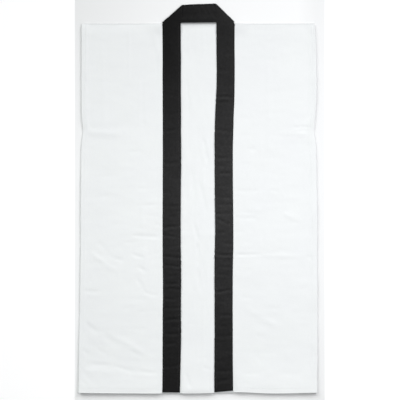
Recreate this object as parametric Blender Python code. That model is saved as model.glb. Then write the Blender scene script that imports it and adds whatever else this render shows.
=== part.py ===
"""A sleeveless long happi coat, laid flat and face up.

The body is straight-cut white cloth: a back and two fronts that roll over the shoulder
fold and lie on the back.  One doubled black strip is the collar.  Its sewn edge takes in
the front edges and the back neck edge; at each shoulder it is turned over along a line at
45 degrees, so the neck stretch lies underneath the front stretches.

Sizes below are in millimetres and the model is in metres, +Z up.  +Y runs from the hem to
the collar and +X to the viewer's right.  The back's underside is the plane z = 0.
"""
import math

import bpy

MM = 0.001

# ---- cloth -------------------------------------------------------------------------
CLOTH = 1.0            # wall of each layer
GAP = 0.3              # clearance between layers and at seams
LAYER = CLOTH + GAP

# ---- body --------------------------------------------------------------------------
LENGTH = 1000.0        # shoulder fold to hem
ALLOWANCE = 9.0        # panel edge taken in by the collar
NOTCH = 8.0            # the front's allowance stops this far below the shoulder
SEAM_RAMP = 20.0       # a panel climbs into the collar's mouth over this width
CORNER_RAMP = 40.0     # layers climb over the neck stretch over this length
CORNER_REACH = 55.0    # and the front panel feels that climb this far out
ROLL_STEPS = 6

# ---- collar ------------------------------------------------------------------------
COLLAR = 49.0          # finished width, doubled
NECK_SEAM = 2.0        # the neck seam sits this far above the shoulder fold
MOUTH = 11.0           # depth in which the two layers stand apart around a panel
TAPER = 7.0            # they close over this width beyond the mouth
NOSE_STEPS = 3
BEND_STEPS = 4
BEND_RADIUS = 1.5 * LAYER          # mid-surface radius of the turned corner
HALF_OPEN = 1.5 * CLOTH + GAP      # half the band's thickness at the mouth
HALF_SHUT = CLOTH + 0.5 * GAP      # and where it is closed

# Half widths of the body measured from the centre line.
OUTLINE = [
    # station,         down,   left,  right
    ("shoulder",        0.0,  315.3,  315.6),
    ("armhole_upper",  90.0,  315.3,  318.5),
    ("armhole_middle", 185.0, 315.3,  319.3),
    ("armhole_lower",  250.0, 314.6,  315.2),
    ("armhole_foot",   285.0, 312.3,  313.1),
    ("side_top",       325.0, 315.6,  317.2),
    ("chest",          370.0, 316.7,  318.8),
    ("waist",          505.0, 318.0,  321.2),
    ("hip",            775.0, 320.7,  322.0),
    ("hem",           1000.0, 323.7,  321.5),
]

# Where the collar's sewn edge runs, measured the same way.
SEAM = [
    # station,         down,   left,  right
    ("shoulder",        0.0,   96.1,   98.5),
    ("chest",          212.0,  96.1,   97.2),
    ("breast",         296.0,  96.1,   94.5),
    ("hem",           1000.0,  96.1,   94.3),
]

# The cut ends at the hem, as distances down from the shoulder fold.
HEM = [
    # piece,            at its outer edge, at its inner edge
    ("back",             999.8,  1000.6),
    ("front_left",       999.3,  1001.2),
    ("front_right",      999.4,   997.8),
    ("collar_left",      997.8,   997.8),
    ("collar_right",     992.8,   997.4),
]

MATERIALS = {
    # slot:          colour,                roughness
    "body_cloth":   ((0.84, 0.86, 0.86), 0.85),
    "collar_cloth": ((0.020, 0.020, 0.021), 0.80),
}


def smooth(t):
    t = min(1.0, max(0.0, t))
    return t * t * (3.0 - 2.0 * t)


def read(table, down, side):
    """A table's half width at a distance down from the shoulder fold."""
    column = {"left": 2, "right": 3}[side]
    for low, high in zip(table, table[1:]):
        if down <= high[1]:
            t = max(0.0, (down - low[1]) / (high[1] - low[1]))
            return low[column] + t * (high[column] - low[column])
    return table[-1][column]


def hem(piece, share):
    """How far down a piece ends; share 0 is its outer edge and 1 its inner edge."""
    outer, inner = [row[1:] for row in HEM if row[0] == piece][0]
    return outer + share * (inner - outer)


def corner_climb(down):
    """0 well below the shoulder, 1 at the shoulder and above."""
    return smooth((CORNER_RAMP - down) / (CORNER_RAMP - 2.0))


def material(slot):
    colour, roughness = MATERIALS[slot]
    made = bpy.data.materials.get(slot) or bpy.data.materials.new(slot)
    made.use_nodes = True
    shader = made.node_tree.nodes["Principled BSDF"]
    shader.inputs["Base Color"].default_value = (*colour, 1.0)
    shader.inputs["Roughness"].default_value = roughness
    shader.inputs["Metallic"].default_value = 0.0
    return made


def cloth_solid(name, slot, top, under, keep=lambda i, j: True):
    """A closed wall of cloth between two grids of points, over the cells that are kept."""
    points, index, faces = [], {}, []

    def vertex(skin, i, j):
        if (skin, i, j) not in index:
            index[skin, i, j] = len(points)
            points.append([c * MM for c in (top if skin else under)[i][j]])
        return index[skin, i, j]

    rows, columns = len(top) - 1, len(top[0]) - 1
    kept = {(i, j) for i in range(rows) for j in range(columns) if keep(i, j)}
    for i, j in sorted(kept):
        ring = [(i, j), (i, j + 1), (i + 1, j + 1), (i + 1, j)]
        faces.append([vertex(1, *c) for c in ring])
        faces.append([vertex(0, *c) for c in reversed(ring)])
        beyond = [(i - 1, j), (i, j + 1), (i + 1, j), (i, j - 1)]
        for k, cell in enumerate(beyond):
            if cell not in kept:
                a, b = ring[k], ring[(k + 1) % 4]
                faces.append([vertex(1, *b), vertex(1, *a), vertex(0, *a), vertex(0, *b)])
    mesh = bpy.data.meshes.new(name)
    mesh.from_pydata(points, [], faces)
    mesh.materials.append(material(slot))
    mesh.validate()
    made = bpy.data.objects.new(name, mesh)
    bpy.context.scene.collection.objects.link(made)
    return made


# ---- fronts ------------------------------------------------------------------------

def front_height(side, out, down):
    """Height of a front's middle surface; out is the distance from the centre line."""
    from_seam = out - read(SEAM, down, side)
    into_mouth = smooth((SEAM_RAMP + 3.0 - from_seam) / SEAM_RAMP)
    over_corner = smooth((CORNER_REACH - from_seam) / (CORNER_REACH - 3.0))
    return (LAYER + 0.5 * CLOTH + LAYER * into_mouth
            + 2.0 * LAYER * corner_climb(down) * over_corner)


def roll_radius(side, out):
    """Middle-surface radius of the shoulder fold."""
    return 0.5 * (front_height(side, out, 0.0) - 0.5 * CLOTH)


def front(side):
    sign = -1.0 if side == "left" else 1.0
    piece = "front_" + side
    # Columns, from the outer edge inwards: a share of the plain part, then distances
    # from the collar's seam, positive outwards.
    shares = [0.0, 0.35, 0.7]
    distances = [62.0, 42.0, 24.0, 18.0, 13.0, 8.0, 3.0, 0.4, -ALLOWANCE]
    downs = [1000.0] + [row[1] for row in reversed(OUTLINE[1:-1])]
    downs += [CORNER_RAMP, 30.0, 20.0, NOTCH]

    def out_at(j, down):
        edge, seam = read(OUTLINE, down, side), read(SEAM, down, side)
        if j < len(shares):
            return edge + shares[j] * (seam + distances[0] - edge)
        return seam + distances[j - len(shares)]

    columns = len(shares) + len(distances)
    top, under = [], []
    for k, down in enumerate(downs):
        upper, lower = [], []
        for j in range(columns):
            out = out_at(j, down)
            reach = down
            if k == 0:
                edge, seam = read(OUTLINE, down, side), read(SEAM, down, side)
                reach = hem(piece, (edge - out) / (edge - seam))
            z = front_height(side, out, down)
            upper.append((sign * out, -reach, z + 0.5 * CLOTH))
            lower.append((sign * out, -reach, z - 0.5 * CLOTH))
        top.append(upper)
        under.append(lower)
    for step in range(ROLL_STEPS + 1):
        turn = math.pi * step / ROLL_STEPS
        upper, lower = [], []
        for j in range(columns):
            out = out_at(j, 0.0)
            radius = roll_radius(side, out)
            y = -0.5 * CLOTH - radius
            z = 0.5 * CLOTH + radius
            for skin, r in ((upper, radius + 0.5 * CLOTH), (lower, radius - 0.5 * CLOTH)):
                skin.append((sign * out, y + r * math.sin(turn), z + r * math.cos(turn)))
        top.append(upper)
        under.append(lower)
    last = columns - 2
    notch_row = len(downs) - 1
    keep = lambda i, j: j < last or i < notch_row
    if side == "right":
        top = [list(reversed(r)) for r in top]
        under = [list(reversed(r)) for r in under]
        keep = lambda i, j: columns - 2 - j < last or i < notch_row
    return cloth_solid(piece, "body_cloth", top, under, keep)


# ---- back --------------------------------------------------------------------------

def back():
    """Flat on z = 0, but for the stretch that climbs into the neck's mouth."""
    neck_edge = 6.5        # the neck tab stands this far inside the collar's corner
    slit = 0.9             # the shoulder part ends this far outside the seam line
    downs = [1000.0] + [row[1] for row in reversed(OUTLINE[1:-1])]
    downs += [CORNER_RAMP, 30.0, 20.0, 10.0]
    tab_rises = [-2.0, NECK_SEAM + ALLOWANCE]      # distances above the shoulder fold

    def across(down):
        """Columns, left to right, as (x, is it in the neck's width)."""
        le, re = read(OUTLINE, down, "left"), read(OUTLINE, down, "right")
        ls, rs = read(SEAM, max(down, 0.0), "left"), read(SEAM, max(down, 0.0), "right")
        shrink = max(0.0, -down - NECK_SEAM)
        tab_l, tab_r = -(ls - neck_edge - shrink), rs - neck_edge - shrink
        return [(-le, 0), (-0.5 * (le + ls), 0), (-(ls + slit), 0), (tab_l, 1),
                (0.5 * tab_l, 1), (0.5 * tab_r, 1), (tab_r, 1),
                (rs + slit, 0), (0.5 * (re + rs), 0), (re, 0)]

    top, under = [], []

    def add(row):
        top.append([(x, y, z + CLOTH) for x, y, z in row])
        under.append(list(row))

    for k, down in enumerate(downs):
        row = []
        for x, in_neck in across(down):
            y = -down
            if k == 0:
                y = -hem("back", 1.0 - abs(x) / read(OUTLINE, down, "left"))
            row.append((x, y, LAYER * corner_climb(down) * in_neck))
        add(row)
    edge = []                                      # the shoulder edge, and the row the tab starts on
    for x, in_neck in across(0.0):
        side = "left" if x < 0 else "right"
        if in_neck:
            edge.append((x, -3.0, LAYER * corner_climb(3.0)))
        else:
            edge.append((x, -0.5 * CLOTH - roll_radius(side, abs(x)) - GAP, 0.0))
    add(edge)
    shoulder_row = len(top) - 1
    for rise in tab_rises:
        add([(x, rise, LAYER) for x, _ in across(-max(rise, 0.0))])
    first, last = 3, 6
    return cloth_solid("back_panel", "body_cloth", top, under,
                       lambda i, j: i < shoulder_row or first <= j < last)


# ---- collar ------------------------------------------------------------------------

def half_thickness(across):
    """Half the doubled band's thickness at a distance in from its sewn edge."""
    return HALF_OPEN + (HALF_SHUT - HALF_OPEN) * smooth((across - MOUTH) / TAPER)


def band_section():
    """The doubled band's hairpin section as pairs (outer skin, inner skin) of
    (distance in from the sewn edge, height above the band's middle surface)."""
    stops = [0.0, MOUTH, MOUTH + 0.5 * TAPER, MOUTH + TAPER, COLLAR - HALF_SHUT]
    upper = [((b, half_thickness(b)), (b, half_thickness(b) - CLOTH)) for b in stops]
    nose = []
    for step in range(1, 2 * NOSE_STEPS):
        turn = math.pi * step / (2 * NOSE_STEPS)
        nose.append(tuple((COLLAR - HALF_SHUT + r * math.sin(turn), r * math.cos(turn))
                          for r in (HALF_SHUT, HALF_SHUT - CLOTH)))
    lower = [tuple((b, -d) for b, d in pair) for pair in reversed(upper)]
    return upper + nose + lower


def bend_point(across, offset, turn_share, onto_front, seam_at_corner, sign):
    """A point in the turned corner.  The axis runs at 45 degrees; turn_share goes from 0
    on the flat to 1 at half height, where the two stretches meet with the gap."""
    radius = BEND_RADIUS + offset
    stop = math.acos(min(1.0, 0.5 * GAP / max(radius, 1e-6)))
    turn = turn_share * stop
    if not onto_front:
        turn = math.pi - turn
    pull = HALF_OPEN - 0.5 * math.pi * BEND_RADIUS + BEND_RADIUS    # outline on the 45 degree line
    beyond = -0.5 * math.pi * BEND_RADIUS + radius * math.sin(turn) - pull
    z = BEND_RADIUS + half_thickness(across) + radius * math.cos(turn)
    x = -seam_at_corner + across - beyond / math.sqrt(2.0)
    y = NECK_SEAM + across + beyond / math.sqrt(2.0)
    return (-sign * x, y, z)


def collar_front(side):
    """From the hem up over the corner to the turned edge."""
    sign = -1.0 if side == "left" else 1.0
    corner = read(SEAM, 0.0, side)
    section = band_section()
    downs = [1000.0, 775.0, 505.0, 296.0, 254.0, 212.0, 120.0, 60.0,
             CORNER_RAMP, 31.0, 21.0, 11.0, 2.0]

    def skin(which):
        rows = []
        for down in downs:
            row = []
            for pair in section:
                across, offset = pair[which]
                y = -down
                if down == downs[0]:
                    y = -hem("collar_" + side, across / COLLAR)
                base = LAYER + 2.0 * LAYER * corner_climb(down)
                out = read(SEAM, down, side) - across
                row.append((sign * out, y, base + half_thickness(across) + offset))
            rows.append(row)
        for step in range(BEND_STEPS + 1):
            rows.append([bend_point(*pair[which], step / BEND_STEPS, True, corner, sign)
                         for pair in section])
        return rows

    outer, inner = skin(0), skin(1)
    if side == "right":
        outer, inner = ([list(reversed(r)) for r in s] for s in (outer, inner))
    return cloth_solid("collar_front_" + side, "collar_cloth", outer, inner)


def collar_neck():
    """From one turned corner to the other, lying under both."""
    section = band_section()

    def skin(which):
        rows = []
        for side, sign in (("left", -1.0), ("right", 1.0)):
            corner = read(SEAM, 0.0, side)
            steps = range(BEND_STEPS + 1)
            for step in (reversed(steps) if side == "left" else steps):
                row = []
                for pair in section:
                    across, offset = pair[which]
                    row.append(bend_point(across, offset, step / BEND_STEPS, False, corner, sign))
                rows.append(row)
            if side == "left":
                rows.append([(0.0, NECK_SEAM + pair[which][0],
                              half_thickness(pair[which][0]) - pair[which][1])
                             for pair in section])
        return rows

    return cloth_solid("collar_back_neck", "collar_cloth", skin(0), skin(1))


# ---- assembly ----------------------------------------------------------------------

def centre(pieces):
    """Puts the origin under the middle of the whole coat's box."""
    points = [v.co for piece in pieces for v in piece.data.vertices]
    for axis in (0, 1):
        low, high = min(p[axis] for p in points), max(p[axis] for p in points)
        for piece in pieces:
            for v in piece.data.vertices:
                v.co[axis] -= 0.5 * (low + high)


def main():
    for old in list(bpy.data.objects):
        bpy.data.objects.remove(old)
    pieces = [back(), front("left"), front("right"),
              collar_front("left"), collar_neck(), collar_front("right")]
    centre(pieces)


main()
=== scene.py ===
"""The looks of the sleeveless long happi coat, laid flat and face up.

Everything is worked out in millimetres in the coat's own terms: `x` is the distance from
the centre line, positive to the viewer's right, and `down` is the distance from the
shoulder fold towards the hem.  place() turns these into the frame's metres.
"""

import math

import bpy
import numpy as np
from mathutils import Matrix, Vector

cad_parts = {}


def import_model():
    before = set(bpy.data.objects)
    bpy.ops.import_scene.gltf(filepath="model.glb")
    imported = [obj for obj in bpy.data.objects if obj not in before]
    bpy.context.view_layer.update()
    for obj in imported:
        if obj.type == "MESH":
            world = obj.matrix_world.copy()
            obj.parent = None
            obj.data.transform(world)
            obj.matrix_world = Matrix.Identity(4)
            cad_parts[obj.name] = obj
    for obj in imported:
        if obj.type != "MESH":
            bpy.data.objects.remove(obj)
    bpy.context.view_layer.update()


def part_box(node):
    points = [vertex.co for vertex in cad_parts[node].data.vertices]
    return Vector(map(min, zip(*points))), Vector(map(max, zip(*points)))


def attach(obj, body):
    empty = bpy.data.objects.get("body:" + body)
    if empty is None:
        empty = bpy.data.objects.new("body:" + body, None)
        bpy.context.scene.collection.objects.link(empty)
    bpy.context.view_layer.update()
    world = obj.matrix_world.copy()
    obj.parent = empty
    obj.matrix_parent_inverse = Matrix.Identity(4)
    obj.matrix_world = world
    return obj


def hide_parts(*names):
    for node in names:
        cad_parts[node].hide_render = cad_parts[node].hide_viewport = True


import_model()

BACK, LEFT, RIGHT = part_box("back_panel"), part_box("front_left"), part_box("front_right")
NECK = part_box("collar_back_neck")

# ------------------------------------------------------------------ sizes, millimetres
LEFT_HEM_HALF = 323.7                     # half width at the hem, left of the centre line
X0 = 1000.0 * BACK[0].x + LEFT_HEM_HALF   # the centre line in the frame
SHOULDER = 1000.0 * LEFT[1].y             # the shoulder fold in the frame

CLOTH = 0.6            # white cloth
BAND_CLOTH = 0.65      # black cloth
REST_BACK = 0.06       # underside of the back over the floor
REST_FRONT = 1.25      # underside of a front over the floor
ARMHOLE_HEM = 10.0     # width of the turned edge
BOTTOM_HEM = 14.0
TURNED = 0.85          # what the turned layers add
SIDE_SEAM = 13.0       # width of the seam allowance inside
ARMHOLE_FOOT = 287.0   # where the armhole ends and the side seam begins

COLLAR = 49.0
NECK_RISE = 4.3        # the neck seam over the shoulder fold
MOUTH = 10.0
TAPER = 8.0
HALF_OPEN = 1.15
HALF_SHUT = 0.85
BAND_BASE = 1.05       # underside of a front band over the floor
BAND_OVER_NECK = 2.75  # and where it lies over the neck stretch
NECK_BASE = 0.10

OUTLINE = [
    # down,   left,  right half width
    (0.0,     314.5,  315.3),
    (12.0,    314.7,  315.9),
    (45.0,    314.9,  318.2),
    (100.0,   315.0,  319.8),
    (170.0,   314.9,  320.4),
    (215.0,   314.7,  319.6),
    (250.0,   314.0,  316.6),
    (272.0,   312.7,  314.6),
    (287.0,   311.5,  313.7),
    (302.0,   312.3,  315.2),
    (325.0,   315.1,  318.0),
    (370.0,   316.3,  319.9),
    (430.0,   316.7,  321.3),
    (505.0,   317.6,  322.3),
    (580.0,   317.4,  322.5),
    (640.0,   317.5,  322.3),
    (700.0,   318.7,  323.0),
    (775.0,   320.0,  323.1),
    (850.0,   321.4,  323.4),
    (910.0,   322.4,  323.3),
    (960.0,   322.6,  322.6),
    (1000.0,  322.8,  322.4),
]
SEAM = [
    # down,   left,  right: the collar's sewn edge
    (0.0,     96.2,   98.9),
    (60.0,    95.8,   98.9),
    (100.0,   95.6,   99.3),
    (150.0,   95.8,   99.2),
    (185.0,   95.6,   98.8),
    (218.0,   95.6,   98.1),
    (250.0,   95.4,   96.6),
    (283.0,   95.3,   95.8),
    (315.0,   95.3,   94.9),
    (350.0,   95.2,   94.3),
    (413.0,   95.4,   94.4),
    (478.0,   95.5,   95.0),
    (543.0,   95.8,   95.5),
    (600.0,   95.7,   95.6),
    (640.0,   95.5,   94.8),
    (680.0,   95.1,   94.2),
    (735.0,   94.9,   94.0),
    (775.0,   95.5,   93.9),
    (835.0,   95.6,   94.1),
    (900.0,   95.9,   94.1),
    (950.0,   96.0,   94.6),
    (1000.0,  96.6,   95.0),
]
FREE = [
    # down,   left,  right: the collar's free edge
    (0.0,     46.8,   49.9),
    (60.0,    46.4,   50.1),
    (95.0,    46.1,   50.4),
    (135.0,   46.2,   50.7),
    (165.0,   46.2,   50.5),
    (190.0,   46.2,   49.4),
    (218.0,   45.9,   47.8),
    (250.0,   45.9,   46.4),
    (283.0,   46.1,   45.5),
    (315.0,   45.7,   45.1),
    (380.0,   45.6,   45.1),
    (445.0,   46.2,   45.4),
    (510.0,   46.6,   46.1),
    (545.0,   46.9,   46.6),
    (575.0,   46.9,   46.4),
    (610.0,   46.8,   45.4),
    (640.0,   46.2,   45.0),
    (673.0,   45.7,   44.7),
    (705.0,   45.7,   44.9),
    (770.0,   46.2,   44.9),
    (835.0,   45.7,   45.0),
    (867.0,   46.0,   44.8),
    (900.0,   46.7,   44.7),
    (932.0,   47.5,   44.4),
    (965.0,   48.2,   44.1),
    (1000.0,  48.9,   44.3),
]
HEM_LINE = {
    # x: how far down the hem is
    "back":  [(-324.0, 999.4), (-210.0, 1000.6), (-120.0, 1001.0), (0.0, 1000.6), (120.0, 998.4), (210.0, 1000.2), (322.0, 999.2)],
    "left":  [(-324.0, 999.2), (-280.0, 999.8), (-210.0, 1000.7), (-150.0, 1001.2), (-96.0, 1001.0)],
    "right": [(94.0, 997.4), (130.0, 997.9), (165.0, 999.6), (205.0, 1001.0), (260.0, 1000.4), (322.0, 999.0)],
}
BAND_END = {
    # how far down each band ends, at its sewn edge and at its free edge
    "left":  (997.6, 998.2),
    "right": (992.8, 997.6),
}

# ------------------------------------------------------------------ creases
# Each row is one soft fold: where it starts and ends, how far its middle
# bows towards the hem (or to the right on an upright one), its depth (a minus sign makes
# a ridge), its half width, and how much cloth is pushed up on its hem side.
CREASES_LEFT = [
    # name,            x0,     down0,  x1,     down1,  bow,  depth, width, lip
    ("armhole_foot_a", -309.0,  291.0, -232.0,  293.0,  1.0, -0.34,  4.5, 0.1),
    ("armhole_foot_b", -309.0,  303.0, -246.0,  309.0,  2.0,  0.28,  6.5, 0.3),
    ("armhole_foot_c", -307.0,  322.0, -262.0,  316.0,  3.0,  0.24,  5.0, 0.4),
    ("press_outer",    -187.5,    4.0, -187.0,  168.0,  0.5, -0.38,  4.0, 0.0),
    ("press_inner",    -150.0,  140.0, -148.8,  268.0, -1.0,  0.34,  4.0, 0.3),
    ("press_blob",     -150.5,  262.0, -147.0,  274.0,  0.0,  0.42,  6.0, 0.5),
    ("neck_drape",     -126.0,   16.0, -104.0,  104.0,  4.0, -0.70,  6.5, 0.0),
    ("neck_drape_low", -112.0,   52.0, -101.0,  150.0,  2.0, -0.30,  5.0, 0.0),
    ("chest_a",        -190.0,  348.0, -148.0,  344.0,  2.0,  0.30,  5.0, 0.4),
    ("chest_b",        -279.0,  415.0, -233.0,  413.0,  1.0,  0.28,  4.5, 0.4),
    ("chest_c",        -278.0,  468.0, -229.0,  464.0,  1.5,  0.30,  4.5, 0.4),
    ("chest_d",        -262.0,  388.0, -248.0,  397.0,  0.0,  0.24,  4.0, 0.3),
    ("by_band_a",      -168.0,  447.0,  -98.0,  444.0,  1.0,  0.34,  4.5, 0.6),
    ("by_band_b",      -132.0,  470.0,  -98.0,  471.0,  0.5,  0.22,  3.5, 0.6),
    ("by_band_c",      -170.0,  493.0,  -98.0,  488.0,  1.0,  0.30,  4.0, 0.5),
    ("by_band_d",      -146.0,  520.0,  -98.0,  523.0, -1.0,  0.20,  4.0, 0.5),
    ("by_band_e",      -120.0,  543.0,  -98.0,  547.0,  0.0,  0.42,  4.0, 0.6),
    ("waist_strong",   -186.0,  572.0,  -97.0,  578.0,  1.5,  0.62,  4.2, 0.7),
    ("waist_upper",    -175.0,  560.0, -120.0,  562.0,  1.0, -0.30,  5.0, 0.0),
    ("waist_under",    -205.0,  592.0, -150.0,  588.0,  2.0,  0.26,  4.5, 0.5),
    ("pucker_1",       -276.0,  590.0, -243.0,  624.0, -3.0,  0.44,  6.0, 0.6),
    ("pucker_2",       -247.0,  622.0, -196.0,  641.0,  5.0,  0.50,  5.0, 0.7),
    ("pucker_3",       -272.0,  640.0, -262.0,  652.0,  0.0,  0.34,  4.5, 0.4),
    ("pucker_4",       -181.0,  621.0, -141.0,  634.0,  3.0,  0.48,  4.5, 0.6),
    ("pucker_5",       -142.0,  630.0,  -99.0,  624.0, -2.0,  0.28,  5.0, 0.6),
    ("pucker_6",       -168.0,  656.0, -138.0,  676.0, -2.0,  0.52,  4.5, 0.7),
    ("pucker_7",       -167.0,  691.0, -149.0,  726.0, -4.0,  0.52,  5.0, 0.6),
    ("pucker_8",       -151.0,  724.0, -102.0,  736.0,  3.0,  0.48,  4.5, 0.7),
    ("pucker_9",       -240.0,  596.0, -222.0,  604.0,  0.0, -0.34,  7.0, 0.0),
    ("side_a",         -318.0,  722.0, -262.0,  726.0,  2.0,  0.36,  4.5, 0.7),
    ("side_b",         -313.0,  662.0, -240.0,  661.0,  0.0, -0.20,  5.0, 0.0),
    ("low_a",          -166.0,  780.0, -100.0,  776.0,  1.0,  0.26,  4.5, 0.5),
    ("low_b",          -186.0,  822.0, -140.0,  828.0,  1.0,  0.22,  5.0, 0.5),
    ("drag_1",         -317.0,  800.0, -262.0,  842.0,  2.0,  0.44,  6.0, 0.6),
    ("drag_2",         -262.0,  841.0, -208.0,  882.0, -3.0,  0.38,  6.5, 0.6),
    ("drag_3",         -308.0,  838.0, -246.0,  866.0,  3.0, -0.34,  6.5, 0.0),
    ("drag_4",         -288.0,  872.0, -246.0,  896.0,  0.0,  0.26,  5.0, 0.5),
    ("drag_5",         -184.0,  882.0, -134.0,  905.0,  3.0,  0.30,  6.0, 0.6),
    ("drag_6",         -318.0,  880.0, -288.0,  902.0,  0.0,  0.38,  5.5, 0.5),
    ("sweep_1",        -320.0,  912.0, -236.0,  924.0,  3.0,  0.42,  5.2, 0.7),
    ("sweep_2",        -236.0,  923.0, -168.0,  942.0,  2.0,  0.36,  5.0, 0.6),
    ("sweep_3",        -160.0,  942.0,  -98.0,  943.0,  2.0,  0.46,  4.5, 0.7),
    ("corner_1",       -316.0,  938.0, -262.0,  984.0,  2.0,  0.46,  7.5, 0.6),
    ("corner_2",       -308.0,  930.0, -272.0,  958.0,  0.0, -0.40,  6.0, 0.0),
    ("corner_3",       -318.0,  962.0, -298.0,  980.0,  0.0,  0.34,  5.0, 0.4),
]
CREASES_RIGHT = [
    ("armhole_foot_a",  252.0,  281.5,  311.0,  280.5, -0.5,  0.44,  3.6, 0.7),
    ("armhole_foot_b",  268.0,  291.0,  311.0,  290.0,  0.5,  0.36,  3.2, 0.7),
    ("armhole_foot_c",  284.0,  268.0,  311.0,  272.0,  0.0, -0.36,  4.0, 0.0),
    ("armhole_drape",   300.0,  222.0,  297.0,  262.0,  1.0,  0.34,  6.0, 0.4),
    ("armhole_low",     304.0,  318.0,  290.0,  356.0,  2.0,  0.28,  6.0, 0.4),
    ("shoulder_dent",   296.0,    8.0,  303.0,   46.0, -3.0,  0.55,  8.0, 0.5),
    ("press_upper",     224.0,   70.0,  223.0,  126.0,  0.0,  0.22,  5.0, 0.5),
    ("chest_a",         136.0,  340.0,  158.0,  342.0,  0.0,  0.38,  6.5, 0.4),
    ("chest_b",         112.0,  380.0,  144.0,  379.0,  0.0,  0.20,  4.5, 0.5),
    ("chest_c",         140.0,  240.0,  143.0,  296.0,  0.0,  0.20,  4.5, 0.4),
    ("chest_d",         169.0,  318.0,  171.0,  352.0,  0.0, -0.24,  4.5, 0.0),
    ("by_band_a",        98.0,  452.0,  170.0,  453.0,  1.0,  0.28,  4.5, 0.6),
    ("by_band_b",       196.0,  452.0,  222.0,  453.0,  0.0,  0.22,  4.5, 0.5),
    ("by_band_c",        98.0,  525.0,  164.0,  527.0,  0.5,  0.44,  4.8, 0.7),
    ("by_band_d",        98.0,  505.0,  180.0,  504.0, -1.0, -0.24,  5.0, 0.0),
    ("by_band_e",        98.0,  562.0,  128.0,  566.0,  0.0,  0.24,  4.5, 0.5),
    ("press_mid",       175.0,  560.0,  176.0,  606.0,  0.0,  0.20,  4.0, 0.5),
    ("waist_side",      244.0,  537.0,  296.0,  538.0,  0.0,  0.26,  4.5, 0.5),
    ("waist_strong",     96.0,  625.5,  178.0,  624.0,  0.5,  0.66,  3.6, 0.6),
    ("waist_long",      172.0,  624.0,  262.0,  621.0, -1.0,  0.16,  4.2, 0.4),
    ("side_dash",       290.0,  629.0,  317.0,  638.0,  0.0,  0.50,  4.5, 0.5),
    ("low_a",            98.0,  666.0,  150.0,  668.0,  1.0,  0.20,  5.0, 0.5),
    ("low_b",           258.0,  716.0,  304.0,  715.0,  0.5,  0.24,  5.0, 0.5),
    ("low_c",           110.0,  742.0,  158.0,  744.0,  0.0,  0.22,  5.0, 0.5),
    ("low_d",           196.0,  772.0,  222.0,  770.0,  0.0,  0.24,  4.5, 0.5),
    ("low_e",           262.0,  800.0,  312.0,  802.0,  1.0,  0.20,  5.0, 0.5),
    ("low_f",           152.0,  845.0,  186.0,  850.0,  0.0,  0.20,  5.0, 0.5),
    ("slant_1",         156.0,  894.0,  176.0,  922.0,  0.0,  0.36,  6.0, 0.6),
    ("slant_2",         180.0,  915.0,  190.0,  958.0,  2.0, -0.40,  5.5, 0.0),
    ("hem_a",           112.0,  946.0,  176.0,  948.0,  0.5,  0.26,  5.0, 0.5),
    ("hem_b",           218.0,  944.0,  300.0,  950.0,  1.5,  0.28,  6.0, 0.5),
    ("hem_c",           262.0,  962.0,  282.0,  974.0,  0.0, -0.36,  6.0, 0.0),
    ("hem_d",           128.0,  968.0,  150.0,  985.0,  0.0,  0.26,  5.5, 0.4),
    ("side_low",        306.0,  856.0,  316.0,  884.0,  0.0, -0.36,  5.5, 0.0),
]
CREASES_STRIP = [
    # the back between the bands
    ("fold_a",          -28.5,  150.0,  -27.0,  262.0,  0.5,  0.62,  4.5, 0.5),
    ("fold_b",          -27.0,  262.0,  -26.0,  352.0,  0.5,  0.30,  4.5, 0.5),
    ("fold_c",          -14.5,  378.0,  -12.0,  536.0,  0.5,  0.42,  4.2, 0.6),
    ("fold_d",          -12.0,  536.0,   -1.5,  590.0,  1.5,  0.55,  4.0, 0.6),
    ("fold_e",           -1.5,  588.0,   -0.5,  660.0,  0.0,  0.52,  4.2, 0.6),
    ("slant_a",          11.0,  304.0,   26.0,  380.0,  1.0,  0.60,  4.5, 0.5),
    ("slant_b",          14.0,  388.0,   16.0,  452.0,  0.0, -0.38,  4.5, 0.0),
    ("slant_c",           2.0,  420.0,   24.0,  520.0, -1.0,  0.26,  4.5, 0.5),
    ("ridge_a",         -27.5,  344.0,  -24.0,  480.0,  0.5, -0.30,  4.5, 0.0),
    ("soft_a",          -36.0,   66.0,  -22.0,  112.0,  1.0,  0.24,  5.0, 0.4),
    ("soft_b",           -4.0,  660.0,    8.0,  728.0,  1.0,  0.32,  5.0, 0.5),
    ("soft_c",           14.0,  640.0,   18.0,  720.0,  0.0,  0.24,  5.0, 0.5),
    ("cross_a",         -30.0,  412.0,    6.0,  408.0,  0.0,  0.16,  5.0, 0.5),
    ("cross_b",         -34.0,  812.0,    2.0,  815.0,  0.0,  0.18,  5.0, 0.5),
    ("cross_c",          -6.0,  908.0,   30.0,  905.0,  0.0,  0.20,  5.0, 0.5),
    ("tail_a",          -34.0,  944.0,  -22.0,  988.0,  1.0,  0.50,  4.5, 0.5),
    ("tail_b",           12.0,  930.0,   34.0,  936.0,  0.0,  0.30,  4.0, 0.5),
]
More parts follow.
